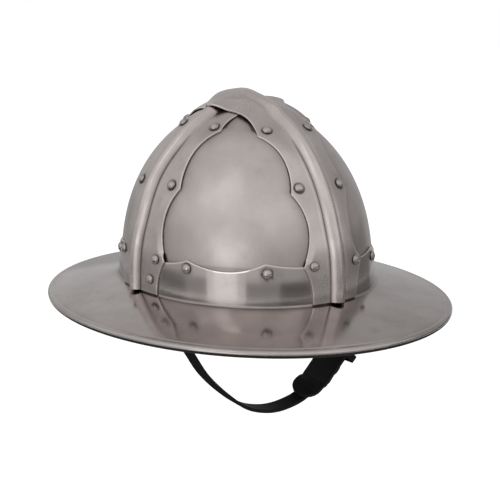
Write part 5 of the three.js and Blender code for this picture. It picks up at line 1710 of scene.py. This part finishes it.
def on_strap(points):
    return np.asarray(points) @ buckle_turn + heel_point


def on_frame(points):
    return on_strap(np.asarray(points) @ lean_turn + np.array([0, 0, heel_height]))


print("heel bar at", on_frame([[0, 0, 0]]).round(3).tolist())

# %% [markdown]
# ## Strap's slot
# The prong passes through the strap, so the strap has a slot there. It is cut out of the finished
# strip, like the lace's slits.

# %% Strap's slot
SLOT_NEAR, SLOT_FAR, SLOT_HALF_WIDTH, CUT_REACH = -1.8, 14.5, 1.7, 12
centre = on_strap([-(SLOT_FAR + SLOT_NEAR) / 2, 0, over_heel / 2])
slot_halves = ((SLOT_FAR - SLOT_NEAR) / 2, SLOT_HALF_WIDTH, CUT_REACH)
cut(strap, box_cutter(centre, buckle_turn, slot_halves))
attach(strap, "strap")
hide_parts("chin_strap")
print("strap faces:", len(strap.data.polygons))

# %% [markdown]
# ## Chape
# The chape is a strip folded round the heel bar, with a slot for the prong. Seen from the side it
# is one closed outline, so it is drawn that way and given its width, and a Bevel modifier softens
# its edges.

# %% Chape
def folded_strip(name, outline, width, material):
    """A closed outline in the plane along the strap, given a width across it."""
    count = len(outline)
    sides = [[(x, y, z) for x, z in outline] for y in (-width / 2, width / 2)]
    faces = [list(range(count)), list(range(2 * count - 1, count - 1, -1))]
    faces += [[k, (k + 1) % count, count + (k + 1) % count, count + k] for k in range(count)]
    return make_piece(name, on_strap(np.vstack(sides)), faces, material, sharp=30)


def soften(piece, width, segments):
    bevel = piece.modifiers.new("soft_edges", "BEVEL")
    bevel.width = width * MILLIMETRE
    bevel.segments = segments
    bevel.limit_method = "ANGLE"
    bevel.angle_limit = math.radians(40)


def fold(radius, first, last):
    turns = np.linspace(first, last, 17)
    return [(radius * math.cos(t), heel_height + radius * math.sin(t)) for t in turns]


lower_top, upper_under = LAYER + CHAPE_LEATHER, LAYER + CHAPE_LEATHER + GAP
upper_top = upper_under + CHAPE_LEATHER
outline = [
    (CHAPE_LENGTH, LAYER), *fold(fold_radius, -QUARTER_TURN, -3 * QUARTER_TURN),
    (CHAPE_SLOT_REACH, upper_top), (CHAPE_LENGTH, upper_top),
    (CHAPE_LENGTH, upper_under), (CHAPE_SLOT_REACH, upper_under),
    *fold(fold_radius - CHAPE_LEATHER, -3 * QUARTER_TURN, -QUARTER_TURN), (CHAPE_LENGTH, lower_top),
]
chape = folded_strip("chape", outline, CHAPE_WIDTH, strap_leather)
slot_end = -fold_radius - GAP
centre = on_strap([(CHAPE_SLOT_REACH + slot_end) / 2, 0, 0])
slot_halves = ((CHAPE_SLOT_REACH - slot_end) / 2, CHAPE_SLOT_HALF_WIDTH, 14)
cut(chape, box_cutter(centre, buckle_turn, slot_halves))
soften(chape, 0.3, 2)
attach(chape, "strap")
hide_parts("buckle_chape")
print("chape outline:", len(outline), "points")

# %% [markdown]
# ## Keeper
# The keeper is a loop of leather round tab and strap that holds the free end down. Its middle
# line is a rectangle with round corners, and its rows go round that line.

# %% Keeper
KEEPER_ALONG, KEEPER_WIDTH, KEEPER_LEATHER, KEEPER_CORNER = 12.0, 7.0, 1.6, 1.2


def round_rectangle(low, high, radius, steps):
    """Points round a rectangle with round corners, given its lowest and highest corner."""
    (x0, y0), (x1, y1) = np.add(low, radius), np.subtract(high, radius)
    points = []
    for index, (x, y) in enumerate(((x1, y1), (x0, y1), (x0, y0), (x1, y0))):
        turned = index * QUARTER_TURN + np.linspace(0, QUARTER_TURN, steps)
        points.append(np.stack([x + radius * np.cos(turned), y + radius * np.sin(turned)], axis=1))
    return np.concatenate(points)


room = GAP + KEEPER_LEATHER / 2
keeper_side, keeper_low = TAB_WIDTH / 2 + room, -LAYER - STRAP_LEATHER - room
keeper_high = on_chape + STRAP_LEATHER + room
loop = round_rectangle((-keeper_side, keeper_low), (keeper_side, keeper_high), KEEPER_CORNER, 7)
ahead = unit(np.roll(loop, -1, axis=0) - np.roll(loop, 1, axis=0))
outwards = np.stack([ahead[:, 1], -ahead[:, 0]], axis=1)
widths = np.repeat(np.linspace(0, KEEPER_WIDTH, 8)[None], len(loop), axis=0)
across, height = round_section(widths, KEEPER_LEATHER, 0.5)
section = loop[:, None] + outwards[:, None] * (height[None, :, None] - KEEPER_LEATHER / 2)
rows = on_strap(np.concatenate([(KEEPER_ALONG + across)[..., None], section], axis=-1))
keeper_wear = edge_nearness(across, STRIP_WEAR_REACH)
keeper = make_loft("keeper", rows, strap_leather, keeper_wear, joined=True)
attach(keeper, "strap")
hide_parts("strap_keeper")
print("keeper rows:", rows.shape)

# %% [markdown]
# ## Buckle frame
# The frame is a wire bent to a rectangle with round corners, swept by the same tree as the lace.

# %% Buckle frame
half_width = BUCKLE_INNER_HALF_WIDTH + BUCKLE_WIRE
flat = round_rectangle((-BUCKLE_LENGTH, -half_width), (0, half_width), BUCKLE_CORNER, 9)
ring = on_frame(np.pad(flat, ((0, 0), (0, 1))))
buckle = grow_tube("buckle_wire", ring, BUCKLE_WIRE, buckle_steel)
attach(buckle, "buckle")
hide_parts("buckle_frame")
print("buckle wire:", len(buckle.data.polygons), "faces")

# %% [markdown]
# ## Prong
# The prong is an eye round the heel bar with a tapered shaft that rests on the front bar. Eye and
# shaft are one path, and the tube along it is flat at the eye and thin at the tip.

# %% Prong
PRONG_WIRE, PRONG_OVERHANG = 1.1, 1.6
EYE_OPENING, EYE_FLATTENING = 0.12, 0.5
SHAFT_STATIONS, SHAFT_RADII = (0, 0.3, 0.85, 1), (1.1, 1.1, 1.0, 0.45)
SHAFT_ROUND_AT = 0.15
eye_radius = BUCKLE_WIRE + GAP + PRONG_WIRE / 2
rest_height = BUCKLE_WIRE + GAP + PRONG_WIRE
shaft = centripetal(np.array([
    (-PRONG_WIRE * 0.6, eye_radius), (-4.0, eye_radius + 0.45),
    (-8.5, (eye_radius + rest_height) / 2 + 0.35), (-13.5, rest_height + 0.1),
    (-BUCKLE_LENGTH, rest_height), (-BUCKLE_LENGTH - PRONG_OVERHANG, rest_height - GAP),
]), 8)[1:]
eye_turns = QUARTER_TURN + np.linspace(FULL_TURN - EYE_OPENING, EYE_OPENING, 40)
eye = eye_radius * np.stack([np.cos(eye_turns), np.sin(eye_turns)], axis=1)


def tapered_tube(name, path, radii, flatten, material):
    """A tube along a path in the frame's upright plane, flattened by a share of its radius."""
    ahead = unit(np.gradient(path, axis=0))
    normal = np.stack([-ahead[:, 1], ahead[:, 0]], axis=1)
    turns = circle(14)
    offset = normal[:, None] * (radii * flatten)[:, None, None] * np.sin(turns)[:, None]
    x, z = np.moveaxis(path[:, None] + offset, -1, 0)
    loops = np.stack([x, radii[:, None] * np.cos(turns), z], axis=-1)
    return make_loft(name, on_frame(loops), material, sharp=60)


path = np.vstack([eye, shaft])
along_shaft = np.linspace(0, 1, len(shaft))
shaft_flatten = np.interp(along_shaft, (0, SHAFT_ROUND_AT), (EYE_FLATTENING, 1))
shaft_radii = np.interp(along_shaft, SHAFT_STATIONS, SHAFT_RADII)
radii = np.concatenate([np.full(len(eye), PRONG_WIRE), shaft_radii])
flatten = np.concatenate([np.full(len(eye), EYE_FLATTENING), shaft_flatten])
prong = tapered_tube("prong", path, radii, flatten, buckle_steel)
face_outward(prong.data)
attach(prong, "prong")
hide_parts("buckle_prong")
print("prong path:", len(path), "points")

# %% [markdown]
# ## Stitches of the chape
# Of the seam that holds the fold shut, the keeper leaves only two stitches to see, one near each
# edge. The thread is dyed like the leather.

# %% Stitches of the chape
CHAPE_STITCH_INSET, CHAPE_STITCH_PITCH = 1.6, 2.8
CHAPE_STITCH_FIRST, CHAPE_STITCH_LAST = CHAPE_SLOT_REACH + 2.2, CHAPE_LENGTH - 8.2
side = CHAPE_WIDTH / 2 - CHAPE_STITCH_INSET
stitch_rows = []
for y in (-side, side):
    for x in np.arange(CHAPE_STITCH_FIRST, CHAPE_STITCH_LAST, CHAPE_STITCH_PITCH):
        stitch_rows.append((x, y, upper_top + STITCH_LIFT))
stitch_points = on_strap(stitch_rows)
count = len(stitch_points)
outwards, ahead = (np.repeat(way[None], count, 0) for way in (heel_outward, heel_along))
sew("chape_stitches", stitch_points, outwards, ahead, strap_thread, "strap",
    length=2.2, thickness=0.5)
print("chape stitches:", count)

# %% [markdown]
# ## Floor
# The hat hangs over a pale floor that lies well below it and fills the frame, so the background
# is its colour. It glows for the rays that see it, and so stays white without lighting the hat.

# %% Floor
FLOOR_HEIGHT = -0.34
FLOOR_HALF_SIZE = 14.0
PAPER_GREY, PAPER_GLOW = (0.8, 0.8, 0.8, 1), 0.6
CORNERS = ((-1, -1), (1, -1), (1, 1), (-1, 1))
corners = [(x * FLOOR_HALF_SIZE, y * FLOOR_HALF_SIZE, FLOOR_HEIGHT) for x, y in CORNERS]
floor_mesh = bpy.data.meshes.new("floor")
floor_mesh.from_pydata(corners, [], [(0, 1, 2, 3)])
floor = add_object("floor", floor_mesh)
paper_look = {"Base Color": PAPER_GREY, "Roughness": 0.9, "Specular IOR Level": 0.1}
paper = Finish("floor_paper", paper_look)


def seen_rays(graph):
    """1 for rays that see the background: straight, in a reflection or through glass."""
    path = graph.tree.nodes.new("ShaderNodeLightPath")
    seen = Value(graph, path.outputs["Is Camera Ray"])
    for name in ("Is Glossy Ray", "Is Transmission Ray"):
        seen = seen.math("MAXIMUM", seen, Value(graph, path.outputs[name]))
    return seen


WHITE = (1, 1, 1, 1)
strength = seen_rays(paper) * PAPER_GLOW
glow = paper.node("ShaderNodeEmission", values={"Color": WHITE, "Strength": strength})
both = paper.tree.nodes.new("ShaderNodeAddShader")
paper.tree.links.new(paper.shader.outputs[0], both.inputs[0])
paper.tree.links.new(glow.socket, both.inputs[1])
paper.tree.links.new(both.outputs[0], paper.tree.nodes["Material Output"].inputs["Surface"])
floor_mesh.materials.append(paper.material)
print("floor at", FLOOR_HEIGHT)

# %% [markdown]
# ## World and lamp
# The world is white for the rays that see it, and a softer grey for those that light the hat, so
# the light comes evenly from all sides. One broad lamp, in front on the wearer's right, shapes the
# leather and the shadow. It isn't seen in the steel, whose reflections are the cards' work.

# %% World and lamp
WORLD_LIGHT, LAMP_AIM = 0.65, (0, 0, 0.05)
world = bpy.data.worlds.new("studio")
bpy.context.scene.world = world
world.use_nodes = True
sky = Graph(world.node_tree)
background = world.node_tree.nodes["Background"]
background.inputs["Color"].default_value = WHITE
sky.feed(background.inputs["Strength"], WORLD_LIGHT + seen_rays(sky) * (1 - WORLD_LIGHT))


def lamp(name, place, size, radiance):
    data = bpy.data.lights.new(name, "AREA")
    data.size = size
    data.energy = radiance * math.pi * size ** 2
    thing = add_object(name, data)
    thing.location = place
    thing.rotation_euler = (Vector(place) - Vector(LAMP_AIM)).to_track_quat("Z", "Y").to_euler()
    return thing


def around(azimuth, elevation, distance):
    """A place by its compass turn from the front of the hat and its height angle."""
    turned, raised_by = math.radians(azimuth), math.radians(elevation)
    level = distance * math.cos(raised_by)
    return (level * math.sin(turned), -level * math.cos(turned), distance * math.sin(raised_by))


key = lamp("key", around(-45, 42, 2.4), 1.1, 0.95)
key.visible_camera = False
key.visible_glossy = False
print("lamp at", np.round(key.location, 2).tolist())

# %% [markdown]
# ## Grey cards
# Polished steel only shows what stands round it. White on all sides would leave it blank, so a
# photographer hangs grey cards round the piece, and one tall bright strip that draws a line of
# light down the front plate. Each card is a part of a sphere, given by its first and last turn
# from the front of the hat and its lowest and highest angle, in degrees, and by its tone and its
# distance in metres. Left and right in the names are those of a viewer in front. One more card
# lies below the brim. Only mirrored rays see them.

# %% Grey cards
CARDS = {
    "card_top_left": (-150, -80, 44, 90, 0.82, 2.9),
    "card_top_middle": (-80, -62, 60, 90, 0.82, 2.9),
    "card_top_front": (-62, 54, 44, 90, 0.82, 2.9),
    "strip_of_light_top": (-80, -62, 44, 60, 1.5, 2.9),
    "card_top_rear": (54, 210, 44, 90, 0.58, 2.9),
    "card_high_left": (-150, -100, 14, 44, 0.8, 1.5),
    "card_high_middle": (-100, -82, 28, 44, 1.15, 1.5),
    "strip_of_light_high": (-82, -68, 28, 44, 1.45, 1.5),
    "card_high_front": (-68, 6, 28, 44, 1.0, 1.5),
    "card_high_front_right": (6, 54, 28, 44, 0.7, 1.5),
    "card_eye_front": (-100, 54, 14, 28, 0.88, 1.5),
    "card_left": (-150, -100, -6, 14, 0.6, 1.5),
    "card_left_low": (-150, -100, -17, -6, 0.2, 1.5),
    "card_front_left": (-100, -82, -6, 14, 0.74, 1.5),
    "card_front_left_low": (-100, -82, -17, -6, 0.36, 1.5),
    "card_beside_strip_left": (-82, -76, -17, 14, 1.0, 1.5),
    "strip_of_light_low": (-76, -57, -17, 1, 1.25, 1.5),
    "strip_of_light_middle": (-76, -50, 1, 14, 1.65, 1.5),
    "card_beside_strip_right": (-57, -50, -17, 1, 0.85, 1.5),
    "card_front": (-50, -38, -6, 14, 0.72, 1.5),
    "card_front_right": (-38, 30, -6, 14, 0.55, 1.5),
    "card_right_front": (30, 54, -6, 14, 0.36, 1.5),
    "card_front_low": (-50, -20, -17, -6, 0.32, 1.5),
    "card_front_right_low": (-20, 54, -17, -6, 0.12, 1.5),
    "card_right": (54, 100, 4, 44, 0.44, 1.5),
    "card_right_low": (54, 100, -17, 4, 0.22, 1.5),
    "card_rear_right": (100, 152, -17, 44, 0.48, 1.5),
    "card_rear": (152, 210, 4, 44, 0.6, 1.5),
    "card_rear_low": (152, 210, -17, 4, 0.4, 1.5),
}
LOW_CARD_HEIGHT, LOW_CARD_RADIUS, LOW_CARD_TONE = FLOOR_HEIGHT + 0.005, 1.12, 0.06
CARD_COLUMNS, CARD_ROWS = 24, 10


def show_in_mirror(name, points, faces, tone):
    mesh = bpy.data.meshes.new(name)
    mesh.from_pydata(points, [], faces)
    thing = add_object(name, mesh)
    thing.visible_camera = False
    thing.visible_diffuse = False
    thing.visible_shadow = False
    finish = Finish(name, {
        "Base Color": (0, 0, 0, 1), "Roughness": 1.0, "Specular IOR Level": 0.0,
        "Emission Color": WHITE, "Emission Strength": tone,
    })
    mesh.materials.append(finish.material)


def card(name, first, last, low, high, tone, distance):
    turns = np.linspace(first, last, CARD_COLUMNS + 1)
    points = [around(turn, angle, distance)
              for angle in np.linspace(low, high, CARD_ROWS + 1) for turn in turns]
    faces = []
    for row in range(CARD_ROWS):
        for column in range(CARD_COLUMNS):
            here = row * len(turns) + column
            above = here + len(turns)
            faces.append((here, here + 1, above + 1, above))
    show_in_mirror(name, points, faces, tone)


for name, row in CARDS.items():
    card(name, *row)
ring = [(LOW_CARD_RADIUS * math.cos(t), LOW_CARD_RADIUS * math.sin(t), LOW_CARD_HEIGHT)
        for t in circle(48)]
show_in_mirror("card_below", ring, [list(range(len(ring)))], LOW_CARD_TONE)
print("cards:", len(CARDS) + 1)
